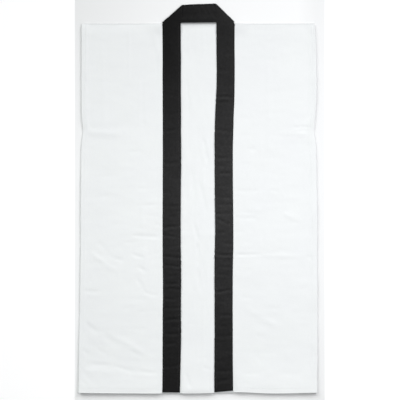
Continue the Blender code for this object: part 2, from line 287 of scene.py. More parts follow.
CREASES_UNDER = [
    # the hidden side: lines where the back lifts off what it lies on
    ("long_a",         -262.0,   30.0, -255.0,  330.0,  3.0, -0.50,  7.0, 0.0),
    ("long_b",         -150.0,  420.0, -141.0,  700.0, -3.0, -0.45,  7.0, 0.0),
    ("long_c",          187.0,   60.0,  193.0,  390.0,  2.0, -0.42,  7.0, 0.0),
    ("slant_a",        -300.0,  610.0, -205.0,  676.0,  5.0, -0.60,  7.0, 0.0),
    ("slant_b",         222.0,  512.0,  300.0,  548.0, -3.0, -0.50,  7.0, 0.0),
    ("slant_c",         120.0,  760.0,  232.0,  826.0,  5.0, -0.55,  8.0, 0.0),
    ("slant_d",        -240.0,  842.0, -128.0,  910.0, -5.0, -0.60,  8.0, 0.0),
    ("cross_a",         -96.0,  574.0,   88.0,  566.0,  3.0, -0.35,  6.0, 0.0),
    ("cross_b",         110.0,  622.0,  310.0,  630.0,  2.0, -0.50,  6.0, 0.0),
    ("cross_c",        -312.0,  300.0, -205.0,  296.0,  2.0, -0.45,  6.0, 0.0),
    ("cross_d",         214.0,  296.0,  308.0,  300.0,  1.0, -0.45,  6.0, 0.0),
    ("cross_e",        -302.0,  934.0, -196.0,  948.0,  3.0, -0.50,  7.0, 0.0),
]
# Creases across the collar: how far down, how far the far end of the crease is from the
# near one, the share of the width it spans, depth, half width.
BAND_CREASES = {
    "left": [
        # down, slope, from, to, depth, width
        (62.0,   2.0, 0.10, 0.75, 0.16, 4.0),
        (118.0, -3.0, 0.20, 1.00, 0.18, 4.0),
        (194.0,  2.0, 0.00, 0.90, 0.30, 4.0),
        (244.0,  4.0, 0.25, 1.00, 0.20, 4.5),
        (290.0, -3.0, 0.00, 0.80, 0.42, 3.8),
        (318.0,  3.0, 0.30, 1.00, 0.24, 4.2),
        (377.0, -4.0, 0.00, 1.00, 0.40, 4.2),
        (420.0,  2.0, 0.35, 1.00, 0.20, 4.2),
        (460.0,  5.0, 0.00, 0.60, 0.22, 4.0),
        (494.0, -2.0, 0.00, 1.00, 0.46, 3.6),
        (523.0,  3.0, 0.20, 0.90, 0.26, 3.8),
        (551.0, -3.0, 0.00, 1.00, 0.70, 3.6),
        (576.0,  4.0, 0.00, 0.90, 0.52, 3.4),
        (603.0, -2.0, 0.30, 1.00, 0.26, 3.6),
        (633.0,  8.0, 0.00, 1.00, 0.72, 3.4),
        (656.0,  2.0, 0.00, 1.00, 0.66, 3.2),
        (682.0, -4.0, 0.10, 0.80, 0.28, 3.6),
        (705.0,  3.0, 0.00, 1.00, 0.46, 3.4),
        (718.0,  5.0, 0.20, 1.00, 0.36, 3.2),
        (745.0, -3.0, 0.00, 0.85, 0.44, 3.4),
        (770.0,  4.0, 0.00, 1.00, 0.42, 3.4),
        (802.0, -5.0, 0.00, 1.00, 0.66, 3.6),
        (820.0,  2.0, 0.40, 1.00, 0.24, 3.4),
        (840.0,  3.0, 0.00, 1.00, 0.40, 3.6),
        (867.0, -2.0, 0.00, 0.90, 0.38, 3.6),
        (898.0,  4.0, 0.30, 1.00, 0.20, 4.0),
        (927.0, -3.0, 0.00, 1.00, 0.34, 4.0),
        (960.0,  2.0, 0.00, 0.70, 0.20, 4.0),
    ],
    "right": [
        (36.0,  -4.0, 0.30, 1.00, 0.20, 4.5),
        (84.0,   6.0, 0.00, 0.80, 0.24, 4.5),
        (128.0, -5.0, 0.20, 1.00, 0.24, 4.5),
        (168.0,  4.0, 0.00, 0.70, 0.28, 4.0),
        (199.0,  3.0, 0.00, 1.00, 0.72, 3.4),
        (214.0, -2.0, 0.20, 1.00, 0.30, 3.4),
        (252.0,  5.0, 0.10, 0.90, 0.22, 4.2),
        (291.0, -2.0, 0.00, 1.00, 0.46, 4.0),
        (330.0,  4.0, 0.00, 0.80, 0.24, 4.0),
        (364.0, -3.0, 0.00, 1.00, 0.44, 3.8),
        (386.0,  2.0, 0.30, 1.00, 0.24, 3.6),
        (407.0,  5.0, 0.00, 0.90, 0.42, 3.6),
        (440.0, -4.0, 0.20, 1.00, 0.24, 4.0),
        (470.0, -2.0, 0.00, 1.00, 0.44, 3.6),
        (491.0,  4.0, 0.00, 0.90, 0.46, 3.4),
        (515.0, -3.0, 0.00, 1.00, 0.40, 3.4),
        (537.0, -22.0, 0.05, 0.95, 0.46, 4.0),
        (566.0,  6.0, 0.30, 1.00, 0.24, 3.8),
        (596.0, -4.0, 0.00, 0.70, 0.26, 3.8),
        (626.0, -4.0, 0.00, 1.00, 0.95, 3.2),
        (659.0,  3.0, 0.00, 0.90, 0.44, 3.6),
        (681.0, -3.0, 0.10, 1.00, 0.42, 3.4),
        (724.0,  4.0, 0.00, 1.00, 0.64, 3.4),
        (752.0, -2.0, 0.30, 1.00, 0.24, 3.8),
        (791.0,  5.0, 0.00, 0.90, 0.40, 3.8),
        (820.0, -4.0, 0.20, 1.00, 0.22, 4.0),
        (846.0,  2.0, 0.00, 1.00, 0.36, 4.0),
        (884.0, -5.0, 0.00, 0.70, 0.22, 4.2),
        (913.0,  4.0, 0.30, 1.00, 0.24, 4.0),
        (940.0, -2.0, 0.00, 1.00, 0.38, 3.8),
        (966.0, 12.0, 0.10, 1.00, 0.44, 4.0),
    ],
    "neck": [
        # measured along the neck from its left corner
        (22.0,   2.0, 0.10, 0.90, 0.20, 4.0),
        (47.0,  -3.0, 0.00, 0.80, 0.26, 4.5),
        (74.0,   2.0, 0.25, 1.00, 0.20, 5.0),
        (102.0, -2.0, 0.00, 0.90, 0.24, 5.0),
        (128.0,  3.0, 0.20, 1.00, 0.34, 4.0),
        (150.0, -4.0, 0.00, 0.80, 0.24, 4.5),
        (173.0,  2.0, 0.30, 1.00, 0.20, 4.0),
    ],
}


# ------------------------------------------------------------------ arithmetic helpers

def ease(t):
    t = np.clip(t, 0.0, 1.0)
    return t * t * (3.0 - 2.0 * t)


def read(rows, at, column=1):
    """A smooth curve through a table's rows, read at any distance (Hermite spans)."""
    table = np.array([[r[0], r[column]] for r in rows], float)
    k, v = table[:, 0], table[:, 1]
    gaps = np.diff(k)
    slopes = np.diff(v) / gaps
    m = np.concatenate([[slopes[0]], 0.5 * (slopes[:-1] + slopes[1:]), [slopes[-1]]])
    flat = np.concatenate([[False], slopes[:-1] * slopes[1:] <= 0, [False]])
    m[flat] = 0.0
    at = np.clip(np.asarray(at, float), k[0], k[-1])
    i = np.clip(np.searchsorted(k, at, side="right") - 1, 0, len(k) - 2)
    t = (at - k[i]) / gaps[i]
    return (v[i] * (1 + 2 * t) * (1 - t) ** 2 + v[i + 1] * t * t * (3 - 2 * t)
            + gaps[i] * (m[i] * t * (1 - t) ** 2 + m[i + 1] * t * t * (t - 1)))


def edge_of(side, down):
    return read(OUTLINE, down, 1 if side == "left" else 2)


def seam_of(side, down):
    return read(SEAM, down, 1 if side == "left" else 2)


def drift(x, y, cell, seed):
    """Smooth unevenness between -1 and 1 that changes over about one cell."""
    table = np.random.default_rng(seed).uniform(-1.0, 1.0, (97, 97))
    gx, gy = np.asarray(x, float) / cell + 400.37, np.asarray(y, float) / cell + 400.71
    ix, iy = np.floor(gx).astype(int), np.floor(gy).astype(int)
    fx, fy = ease(gx - ix), ease(gy - iy)
    a, b = table[ix % 97, iy % 97], table[(ix + 1) % 97, iy % 97]
    c, d = table[ix % 97, (iy + 1) % 97], table[(ix + 1) % 97, (iy + 1) % 97]
    return (a * (1 - fx) + b * fx) * (1 - fy) + (c * (1 - fx) + d * fx) * fy


def creased(x, down, rows, steps=8):
    """The height that a table of creases gives at each point."""
    total = np.zeros_like(x)
    for n, (_, x0, d0, x1, d1, bow, depth, width, lip) in enumerate(rows):
        length = math.hypot(x1 - x0, d1 - d0)
        width = 1.22 * width
        along = np.array([x1 - x0, d1 - d0]) / length
        across = np.array([-along[1], along[0]])
        if across[1] < -1e-9 or (abs(across[1]) < 0.3 and across[0] < 0):
            across = -across
        t = np.linspace(0.0, 1.0, steps + 1)
        spine = (np.array([x0, d0]) + np.outer(t * length, along)
                 + np.outer(4 * bow * t * (1 - t), across))
        reach = 5.0 * width
        near = ((x > spine[:, 0].min() - reach) & (x < spine[:, 0].max() + reach)
                & (down > spine[:, 1].min() - reach) & (down < spine[:, 1].max() + reach))
        if not near.any():
            continue
        px, pd = x[near], down[near]
        best = np.full(px.shape, 1e9)
        away, share = np.zeros(px.shape), np.zeros(px.shape)
        for k in range(steps):
            a, b = spine[k], spine[k + 1]
            step = b - a
            u = np.clip(((px - a[0]) * step[0] + (pd - a[1]) * step[1]) / (step @ step), 0, 1)
            ox, od = px - a[0] - u * step[0], pd - a[1] - u * step[1]
            far = np.hypot(ox, od)
            closer = far < best
            best = np.where(closer, far, best)
            away = np.where(closer, np.sign(ox * across[0] + od * across[1]) * far, away)
            share = np.where(closer, (k + u) / steps, share)
        fade = ease(share / 0.28 + 0.12) * ease((1 - share) / 0.28 + 0.12)
        ends = np.exp(-((best / (2.2 * width)) ** 4))
        uneven = 1.0 + 0.28 * np.sin(share * length / 17.0 + 1.7 * n) + 0.16 * np.sin(share * length / 6.3 + n)
        q = away / (width * (0.85 + 0.3 * share))
        shape = -np.exp(-q * q)
        shape += 0.55 * lip * np.exp(-(((q - 2.0) / 1.3) ** 2))
        shape += 0.28 * np.exp(-(((q + 2.0) / 1.4) ** 2)) * (depth > 0)
        total[near] += depth * fade * uneven * ends * shape
    return total


def place(x, down, z):
    """Millimetres in the coat's own terms to metres in the frame."""
    return np.stack([(np.asarray(x) + X0), (SHOULDER - np.asarray(down)),
                     np.broadcast_to(z, np.shape(x))], axis=-1) * 0.001


def mesh_object(name, points, faces, slots, flat_uv=None, face_slot=None, smooth=True):
    mesh = bpy.data.meshes.new(name)
    faces = np.asarray(faces, np.int32)
    mesh.vertices.add(len(points))
    mesh.vertices.foreach_set("co", np.asarray(points, np.float32).ravel())
    mesh.loops.add(faces.size)
    mesh.loops.foreach_set("vertex_index", faces.ravel())
    mesh.polygons.add(len(faces))
    mesh.polygons.foreach_set("loop_start", np.arange(0, faces.size, faces.shape[1], dtype=np.int32))
    for slot in slots:
        mesh.materials.append(slot)
    if face_slot is not None:
        mesh.polygons.foreach_set("material_index", np.asarray(face_slot, np.int32))
    mesh.update(calc_edges=True)
    mesh.polygons.foreach_set("use_smooth", np.full(len(faces), smooth))
    if flat_uv is not None:
        layer = mesh.uv_layers.new(name="cloth")
        layer.uv.foreach_set("vector", np.asarray(flat_uv, np.float32)[faces.ravel()].ravel())
    mesh.validate()
    made = bpy.data.objects.new(name, mesh)
    bpy.context.scene.collection.objects.link(made)
    return made


def closed_wall(name, top, under, flat_uv, slots, flip=False, keep=None):
    """A closed shell between two grids of points that share their rows and columns."""
    rows, cols = top.shape[:2]
    if keep is None:
        keep = np.ones((rows - 1, cols - 1), bool)
    ids = np.arange(rows * cols).reshape(rows, cols)
    a, b, c, d = ids[:-1, :-1], ids[:-1, 1:], ids[1:, 1:], ids[1:, :-1]
    quad = np.stack([a, b, c, d], axis=-1)[keep]
    other = quad + rows * cols
    faces = [quad, other[:, ::-1]]
    padded = np.zeros((rows + 1, cols + 1), bool)
    padded[1:-1, 1:-1] = keep
    here = padded[1:-1, 1:-1]
    for shift, (p, q) in (((-1, 0), (a, b)), ((0, 1), (b, c)), ((1, 0), (c, d)), ((0, -1), (d, a))):
        beyond = padded[1 + shift[0]:rows + shift[0], 1 + shift[1]:cols + shift[1]]
        rim = here & ~beyond
        p1, q1 = p[rim], q[rim]
        faces.append(np.stack([q1, p1, p1 + rows * cols, q1 + rows * cols], axis=-1))
    faces = np.concatenate(faces)
    if flip:
        faces = faces[:, ::-1]
    points = np.concatenate([top.reshape(-1, 3), under.reshape(-1, 3)])
    uv = np.concatenate([flat_uv.reshape(-1, 2)] * 2)
    used, back = np.unique(faces, return_inverse=True)
    return mesh_object(name, points[used], back.reshape(faces.shape), slots, uv[used])


# ------------------------------------------------------------------ heights of the cloth

RELIEF = 0.66                 # share of the tables' crease depths that is used
BAND_RELIEF = 2.45            # and the same for the collar
SLOT_MIDDLE = BAND_BASE + HALF_OPEN
INTO_MOUTH = SLOT_MIDDLE + 0.5 * CLOTH - (REST_FRONT + CLOTH)
OVER_CORNER = BAND_OVER_NECK - BAND_BASE
SEAM_RISE = 1.3               # the side seam stands this high over the floor
ALLOWANCES = 0.5


def side_edge(x, down):
    return np.where(np.asarray(x) < 0, edge_of("left", down), edge_of("right", down))


def side_seam(x, down):
    down = np.maximum(down, 0.0)
    return np.where(np.asarray(x) < 0, seam_of("left", down), seam_of("right", down))


def hem_line(piece, x):
    return read(HEM_LINE[piece], x)


def nose(inward, radius):
    """How much of a rounded edge's height is lost, from 1 at the edge to 0 a radius in."""
    t = 1.0 - np.clip(inward / radius, 0.0, 1.0)
    return 1.0 - np.sqrt(1.0 - t * t)


def armhole_share(down):
    return ease((ARMHOLE_FOOT + 7.0 - down) / 16.0)


def climb(down):
    """0 well below the shoulder, 1 at the shoulder and above."""
    return ease((40.0 - down) / 38.0)


def coat_lift(x, down):
    """How far the coat stands off the floor: a little at its sides and along the hem."""
    u = side_edge(x, down) - np.abs(x)
    v = hem_line("back", x) - down
    side = 2.0 * np.clip(1.0 - u / 42.0, 0.0, 1.0) ** 2.2 * (0.8 + 0.45 * drift(0.2 * x, down, 70.0, 11))
    side *= 1.0 - 0.55 * np.exp(-((down - ARMHOLE_FOOT) / 22.0) ** 2)
    hem = 3.0 * np.clip(1.0 - v / 270.0, 0.0, 1.0) ** 2.2 * (0.88 + 0.24 * drift(x, 0.2 * down, 75.0, 12))
    ripple = np.maximum(RELIEF * creased(x, down, CREASES_UNDER), 0.0)
    return np.hypot(side, hem) + ripple


def turned(u, v, down, hem=True):
    """Thickness that the turned hems and seam allowances add to a layer."""
    opening = armhole_share(down)
    at_side = TURNED * opening * ease((ARMHOLE_HEM - u) / 0.9 + 0.5)
    at_hem = TURNED * ease((BOTTOM_HEM - v) / 1.4 + 0.5) * hem
    seam = ALLOWANCES * (1.0 - opening) * ease((u - 0.6) / 1.8) * ease((SIDE_SEAM - u) / 1.0 + 0.5)
    return np.maximum(np.maximum(at_side, at_hem), seam)


def back_skins(x, down):
    """Upper and under surfaces of the back, with its folds between the bands."""
    u = side_edge(x, down) - np.abs(x)
    v = hem_line("back", x) - down
    opening = armhole_share(down)
    lift = REST_BACK + coat_lift(x, down)
    rounded = np.maximum(opening * nose(u, 0.8), nose(v, 0.8))
    seam = (1.0 - opening) * nose(u, 2.8)
    under = lift + np.maximum(0.62 * rounded, (SEAM_RISE - 0.28 - REST_BACK) * seam)
    above = np.maximum(turned(u, v, down, hem=False), 0.30 * (1.0 - ease((v - 6.0) / 34.0)))
    below = np.maximum(turned(u, v, down) - above, 0.0)
    thick = CLOTH * (1.0 - 0.6 * (1.0 - opening) * nose(u, 1.2)) + above
    full = np.maximum(lift, under * (seam > 0)) + thick - 0.62 * rounded
    under = np.maximum(under - below, 0.05)
    # between the bands the cloth stands a little off the floor, so that it can fold
    free_l, free_r = read(FREE, down, 1), read(FREE, down, 2)
    inside = np.minimum(x + free_l, free_r - x)
    strip = ease((inside + 2.0) / 10.0)
    middle = strip * (0.95 + 0.25 * drift(x, down, 60.0, 31))
    middle = middle + strip * 1.25 * creased(x, down, CREASES_STRIP) * ease(v / 4.0)
    middle = middle + strip * (0.17 * drift(x, 0.25 * down, 9.0, 32) + 0.07 * drift(0.4 * x, down, 11.0, 33))
    middle = middle * (0.35 + 0.65 * ease(v / 9.0))
    middle = middle + 2.8 * ease((inside + 1.0) / 9.0) * np.clip(1.0 - v / 150.0, 0.0, 1.0) ** 2.0
    # and at the top it climbs into the neck's mouth
    in_neck = ease((side_seam(x, down) + 0.9 - np.abs(x)) / 7.4)
    neck = in_neck * ease((22.0 - down) / 24.0)
    target = NECK_BASE + neck_lift(x) + BAND_CLOTH + 0.06
    middle = middle * (1.0 - neck)
    under = under + np.maximum(middle, -(under - 0.05))
    full = full + np.maximum(middle, -(full - 0.05 - 0.6 * CLOTH))
    under = under + neck * (target - under)
    full = full + neck * (target + CLOTH - full)
    return full, under


def neck_lift(x):
    """The neck stretch bows up a little between its corners."""
    return 0.30 * ease((84.0 - np.abs(x)) / 40.0)


def stitch_dip(away, depth=0.16, half=0.75):
    return -depth * np.exp(-((away / half) ** 2))


def front_skins(side, x, down):
    out, edge, seam = np.abs(x), edge_of(side, down), seam_of(side, np.maximum(down, 0.0))
    u, v, s = edge - out, hem_line(side, x) - down, out - seam
    opening = armhole_share(down)
    seed = 100 if side == "left" else 200
    # bulk where the hems and seam allowances lie
    at_side = (0.98 * opening + 0.45 * (1.0 - opening)) * (1.0 - ease((u - 10.5) / 13.0))
    at_side = at_side + 0.26 * (1.0 - opening) * ease((SIDE_SEAM + 0.6 - u) / 2.4 + 0.5)
    at_hem = 0.98 * (1.0 - ease((v - BOTTOM_HEM + 1.0) / 64.0))
    bulk = np.maximum(at_side, at_hem) + 0.15 * np.minimum(at_side, at_hem)
    lip = 2.0 * np.clip(1.0 - v / 160.0, 0.0, 1.0) ** 2.0 * (0.85 + 0.40 * drift(x, 0.3 * down, 52.0, seed + 1))
    lip = lip + 0.55 * opening * ease(1.0 - u / 20.0) * (0.7 + 0.6 * drift(0.3 * x, down, 48.0, seed + 2))
    fold = -0.62 * ease(1.0 - down / 30.0) * ease((s - 20.0) / 40.0)
    clear = ease((s - 0.5) / 12.0)
    plain = REST_FRONT + CLOTH + coat_lift(x, down) + (bulk + lip) * clear + fold
    into = ease((22.0 - s) / 20.0)
    corner = ease((55.0 - s) / 52.0) * climb(down)
    plain = plain + INTO_MOUTH * into + OVER_CORNER * corner
    # creases, soft waves and the finer unevenness of washed cotton
    table = CREASES_LEFT if side == "left" else CREASES_RIGHT
    quiet = (0.25 + 0.75 * ease((s - 0.5) / 7.0)) * ease((down - 1.0) / 8.0) * ease(u / 3.0 + 0.1) * ease(v / 3.0 + 0.15)
    wave = RELIEF * creased(x, down, table) * quiet
    wave = wave + 0.30 * drift(x, down, 118.0, seed + 3) * quiet
    wave = wave + 0.20 * drift(x, down, 44.0, seed + 4) * quiet
    wave = wave + 0.055 * drift(x, down, 13.0, seed + 5) * quiet
    wave = wave + 0.105 * drift(0.34 * x, down, 12.0, seed + 6) * quiet
    # rows of stitches pull the cloth in
    pucker = 0.75 + 0.25 * np.cos(down / 7.0 * 2 * np.pi + 2.0 * np.sin(down / 31.0))
    wave = wave + opening * (stitch_dip(u - 4.0) + stitch_dip(u - 9.4, 0.26, 0.9)) * pucker * ease(down / 6.0)
    pucker = 0.75 + 0.25 * np.cos(x / 7.0 * 2 * np.pi + 2.0 * np.sin(x / 29.0))
    wave = wave + stitch_dip(v - 12.2, 0.12, 0.9) * pucker * ease((u - 2.0) / 3.0) * clear
    over = plain + wave
    thick = CLOTH * (1.0 - 0.6 * (1.0 - opening) * nose(u, 1.2)) + turned(u, v, down) * ease((down - 2.0) / 9.0)
    under = over - thick
    rounded = np.maximum(opening * nose(u, 0.8), nose(v, 0.8)) * 0.62 * ease((down - 2.0) / 9.0)
    seam_drop = (1.0 - opening) * nose(u, 2.8)
    seam_over = REST_BACK + coat_lift(x, down) + SEAM_RISE + 0.28
    over = over - rounded
    under = under + rounded
    over = over + seam_drop * (seam_over - over)
    under = under + seam_drop * (seam_over - thick - under)
    # nothing sinks into the back
    floor = back_skins(x, np.maximum(down, 3.0))[0] + 0.06
    short = np.maximum(floor - under, 0.0) * ease((s + 1.0) / 2.0)
    return over + short, under + short


# ------------------------------------------------------------------ fronts

def spread(start, stop, step):
    count = max(1, int(round(abs(stop - start) / step)))
    return list(np.linspace(start, stop, count + 1))[1:]


EDGE_STOPS = [0.0, 0.12, 0.3, 0.55, 0.9, 1.4, 2.1, 2.9, 3.4, 3.8, 4.2, 4.7, 5.8, 7.2, 8.4, 9.0,
              9.4, 9.8, 10.4, 11.4, 12.4, 13.2, 14.2, 15.8, 17.6, 19.8]
SEAM_STOPS = [22.0, 19.0, 16.0, 13.2, 10.8, 8.6, 6.6, 4.9, 3.4, 2.1, 1.0, -0.6, -3.0, -6.0, -9.0]
HEM_STOPS = [20.0, 17.6, 15.8, 14.6, 13.9, 13.2, 12.6, 12.2, 11.8, 11.0, 9.6, 7.8, 5.9, 4.2, 2.9,
             1.9, 1.2, 0.75, 0.42, 0.18, 0.0]
SHOULDER_STOPS = [3.3, 4.7, 6.2, 8.0, 10.0, 12.4, 15.2, 18.0]
ROLL_STEPS = 14
NOTCH = 8.0


def front(side):
    sign = -1.0 if side == "left" else 1.0
    width0 = float(edge_of(side, 500.0) - seam_of(side, 500.0))
    marks = EDGE_STOPS + spread(EDGE_STOPS[-1], width0 - SEAM_STOPS[0], 2.75)
    marks += [width0 - s for s in SEAM_STOPS[1:]]
    marks = np.array(marks)
    rows = SHOULDER_STOPS + spread(SHOULDER_STOPS[-1], 1000.0 - HEM_STOPS[0], 3.0)
    rows = np.array(rows + [1000.0 - v for v in HEM_STOPS[1:]])

    def outs(down):
        """Distances from the centre line: fixed at both edges, stretched between."""
        width = edge_of(side, down) - seam_of(side, down)
        a, b = EDGE_STOPS[-1], width0 - SEAM_STOPS[0]
        stretch = (width - width0) * np.clip((marks - a) / (b - a), 0.0, 1.0)
        return edge_of(side, down) - marks - stretch

    end_of_band = BAND_END[side][0]
    grid_x, grid_d = [], []
    for r in rows:
        out = outs(np.full(marks.shape, min(r, 1000.0)))
        x = sign * out
        hem = hem_line(side, x)
        inside = out < seam_of(side, min(r, 1000.0)) - 0.2
        hem = np.where(inside, np.minimum(hem, end_of_band - 3.0), hem)
        grid_x.append(x)
        grid_d.append(r + (hem - 1000.0) * ease((r - 860.0) / 110.0))
    x, down = np.array(grid_x), np.array(grid_d)
    over, under = front_skins(side, x, down)

    # over the shoulder fold and down to the back's upper edge
    out0 = outs(np.zeros(marks.shape))
    x0 = sign * out0
    radius, middle = shoulder_roll(side, x0)
    roll_top, roll_under, roll_len = [], [], []
    for step in range(ROLL_STEPS + 1):
        turn = np.pi * step / ROLL_STEPS
        for skin, r in ((roll_top, radius + 0.5 * CLOTH), (roll_under, radius - 0.5 * CLOTH)):
            skin.append(place(x0, radius + 0.5 * CLOTH - r * np.sin(turn), middle + r * np.cos(turn)))
        roll_len.append(np.stack([x0, radius - (radius + 0.5 * CLOTH) * turn], axis=-1))
    top = np.concatenate([np.array(roll_top)[::-1], place(x, down, over)])
    bottom = np.concatenate([np.array(roll_under)[::-1], place(x, down, under)])
    flat = np.concatenate([np.array(roll_len)[::-1], np.stack([x, down], axis=-1)]) * 0.001

    keep = np.ones((top.shape[0] - 1, top.shape[1] - 1), bool)
    first_tab = len(marks) - 5
    notch_row = ROLL_STEPS + 1 + SHOULDER_STOPS.index(NOTCH)
    keep[:notch_row, first_tab:] = False
    return closed_wall("white_front_" + side, top, bottom, flat, [WHITE], flip=(side == "left"), keep=keep)


def shoulder_roll(side, x):
    """Middle-surface radius and height of the shoulder fold at each distance out."""
    over, under = front_skins(side, x, np.zeros(x.shape))
    upper = over - 0.5 * CLOTH
    lower = REST_BACK + coat_lift(x, np.full(x.shape, 3.0)) + 0.5 * CLOTH
    radius = 0.5 * (upper - lower)
    radius = np.maximum(radius, 0.5 * CLOTH + 0.12)
    return radius, np.maximum(0.5 * (upper + lower), lower + radius)


# ------------------------------------------------------------------ back

BACK_EDGE = [0.0, 0.12, 0.3, 0.55, 0.9, 1.4, 2.1, 2.9, 5.0, 8.0, 9.4, 9.9, 10.3, 10.8, 12.4, 13.0, 13.6, 16.0, 22.0]
TAB_INSET = 6.5
SLIT = 0.9


def back():
    rows_tab = [-11.0, -9.0, -7.0, -5.0, -3.0, -1.0, 1.0]
    rows_body = [3.0, 5.0, 7.5, 10.5, 13.5, 16.5, 20.0, 24.0, 28.0] + spread(28.0, 980.0, 3.6)
    rows_body += [1000.0 - v for v in HEM_STOPS[1:]]
    left0, right0 = float(edge_of("left", 500.0)), float(edge_of("right", 500.0))
    grid_x, grid_d = [], []
    for r in rows_tab + rows_body:
        d = max(r, 0.0)
        le, re = float(edge_of("left", min(d, 1000.0))), float(edge_of("right", min(d, 1000.0)))
        ls, rs = float(seam_of("left", d)), float(seam_of("right", d))
        fl, fr = float(read(FREE, d, 1)), float(read(FREE, d, 2))
        shrink = max(0.0, -r - NECK_RISE)
        tab_l, tab_r = -(ls - TAB_INSET - shrink), rs - TAB_INSET - shrink
        cols = [-(le - m) for m in BACK_EDGE]
        cols += list(np.linspace(-(le - BACK_EDGE[-1]), -(ls + SLIT), 28))[1:]
        if r < 3.0:
            cols += list(np.linspace(tab_l, tab_r, 52))
        else:
            cols += list(np.linspace(tab_l, -(fl + 3.0), 7))
            cols += list(np.linspace(-(fl + 3.0), fr + 3.0, 40))[1:]
            cols += list(np.linspace(fr + 3.0, tab_r, 7))[1:]
        cols += list(np.linspace(rs + SLIT, re - BACK_EDGE[-1], 28))
        cols += [re - m for m in reversed(BACK_EDGE[:-1])]
        x = np.array(cols)
        grid_x.append(x)
        if r == 3.0:
            start = np.full(x.shape, 3.0)
            for side, sign in (("left", -1.0), ("right", 1.0)):
                beyond = sign * x > (ls if side == "left" else rs)
                radius, _ = shoulder_roll(side, x[beyond])
                start[beyond] = radius + 0.5 * CLOTH + 0.06
            grid_d.append(start)
        else:
            grid_d.append(r + (hem_line("back", x) - 1000.0) * ease((r - 860.0) / 110.0))
    x, down = np.array(grid_x), np.array(grid_d)
    over, under = back_skins(x, down)
    top, bottom = place(x, down, over), place(x, down, under)
    flat = np.stack([x, down], axis=-1) * 0.001
    keep = np.ones((x.shape[0] - 1, x.shape[1] - 1), bool)
    first = len(BACK_EDGE) + 27
    last = x.shape[1] - 1 - first
    keep[:len(rows_tab), :first] = False
    keep[:len(rows_tab), last:] = False
    return closed_wall("white_back", top, bottom, flat, [WHITE], flip=True, keep=keep)


# ------------------------------------------------------------------ collar

BAND_STOPS = [0.0, 0.15, 0.4, 0.8, 1.5, 2.6, 3.7, 4.1, 4.5, 4.9, 5.6, 7.2, 9.2, 11.6, 14.2, 16.8,
              19.4, 22.0, 24.6, 27.2, 29.8, 32.4, 35.0, 37.4, 39.4, 41.0, 42.0, 42.6, 43.0, 43.4, 44.0, 45.2, 46.4]
BAND_HIDDEN = [46.4, 43.4, 43.0, 42.6, 40.0, 36.0, 31.5, 27.0, 22.5, 18.0, 13.5, 9.2, 5.6, 4.9, 4.5, 4.1, 2.0, 0.8, 0.3, 0.0]
TOPSTITCH = (4.5, 43.0)
NOSE_STEPS = 8
BEND_RADIUS = 0.5 * (BAND_OVER_NECK - NECK_BASE)
# The turned corners are not alike: how far in and up each one sits, at the seam and at the
# free edge, and how much wider the neck stretch leaves it.
CORNER_SHIFT = {"left": ((-0.4, -2.0), (3.7, -2.9)), "right": ((0.7, 0.3), (0.9, 0.8))}
NECK_WIDER = {"left": 1.8, "right": 1.7}


def half_thickness(b):
    return HALF_OPEN + (HALF_SHUT - HALF_OPEN) * ease((b - MOUTH) / TAPER)


def crown(b):
    """The visible layer swells between its two rows of stitches."""
    inner = np.sin(np.pi * np.clip((b - 4.5) / 38.5, 0.0, 1.0)) ** 0.6
    outer = 0.32 * np.sin(np.pi * np.clip(b / 4.5, 0.0, 1.0)) + 0.30 * np.sin(np.pi * np.clip((b - 43.0) / 5.2, 0.0, 1.0))
    return 0.85 * inner + 0.5 * outer


def band_relief(which, along, b):
    """Cross creases and unevenness of the visible layer; `along` runs down a band, or
    along the neck from its left corner."""
    total = np.zeros(np.broadcast(along, b).shape)
    for n, (at, slope, start, stop, depth, width) in enumerate(BAND_CREASES[which]):
        share = b / COLLAR
        away = along - at - slope * (share - 0.5) - 1.2 * np.sin(5.0 * share + 1.9 * n)
        near = np.abs(away) < 7.0 * width
        fade = ease((share - start) / 0.22 + (1.0 if start <= 0 else 0.0)) * ease((stop - share) / 0.22 + (1.0 if stop >= 1 else 0.0))
        q = away / width
        shape = -np.exp(-q * q) + 0.50 * np.exp(-(((q - 2.0) / 1.2) ** 2)) + 0.28 * np.exp(-(((q + 2.0) / 1.3) ** 2))
        total = total + np.where(near, depth * fade * shape * (1.0 + 0.25 * np.sin(7.0 * share + n)), 0.0)
    seed = {"left": 300, "right": 320, "neck": 340}[which]
    total = total + 0.16 * drift(along, 2.2 * b, 34.0, seed) + 0.075 * drift(along, 1.6 * b, 13.0, seed + 1)
    total = total + 0.035 * drift(along, b, 6.0, seed + 2)
    return total


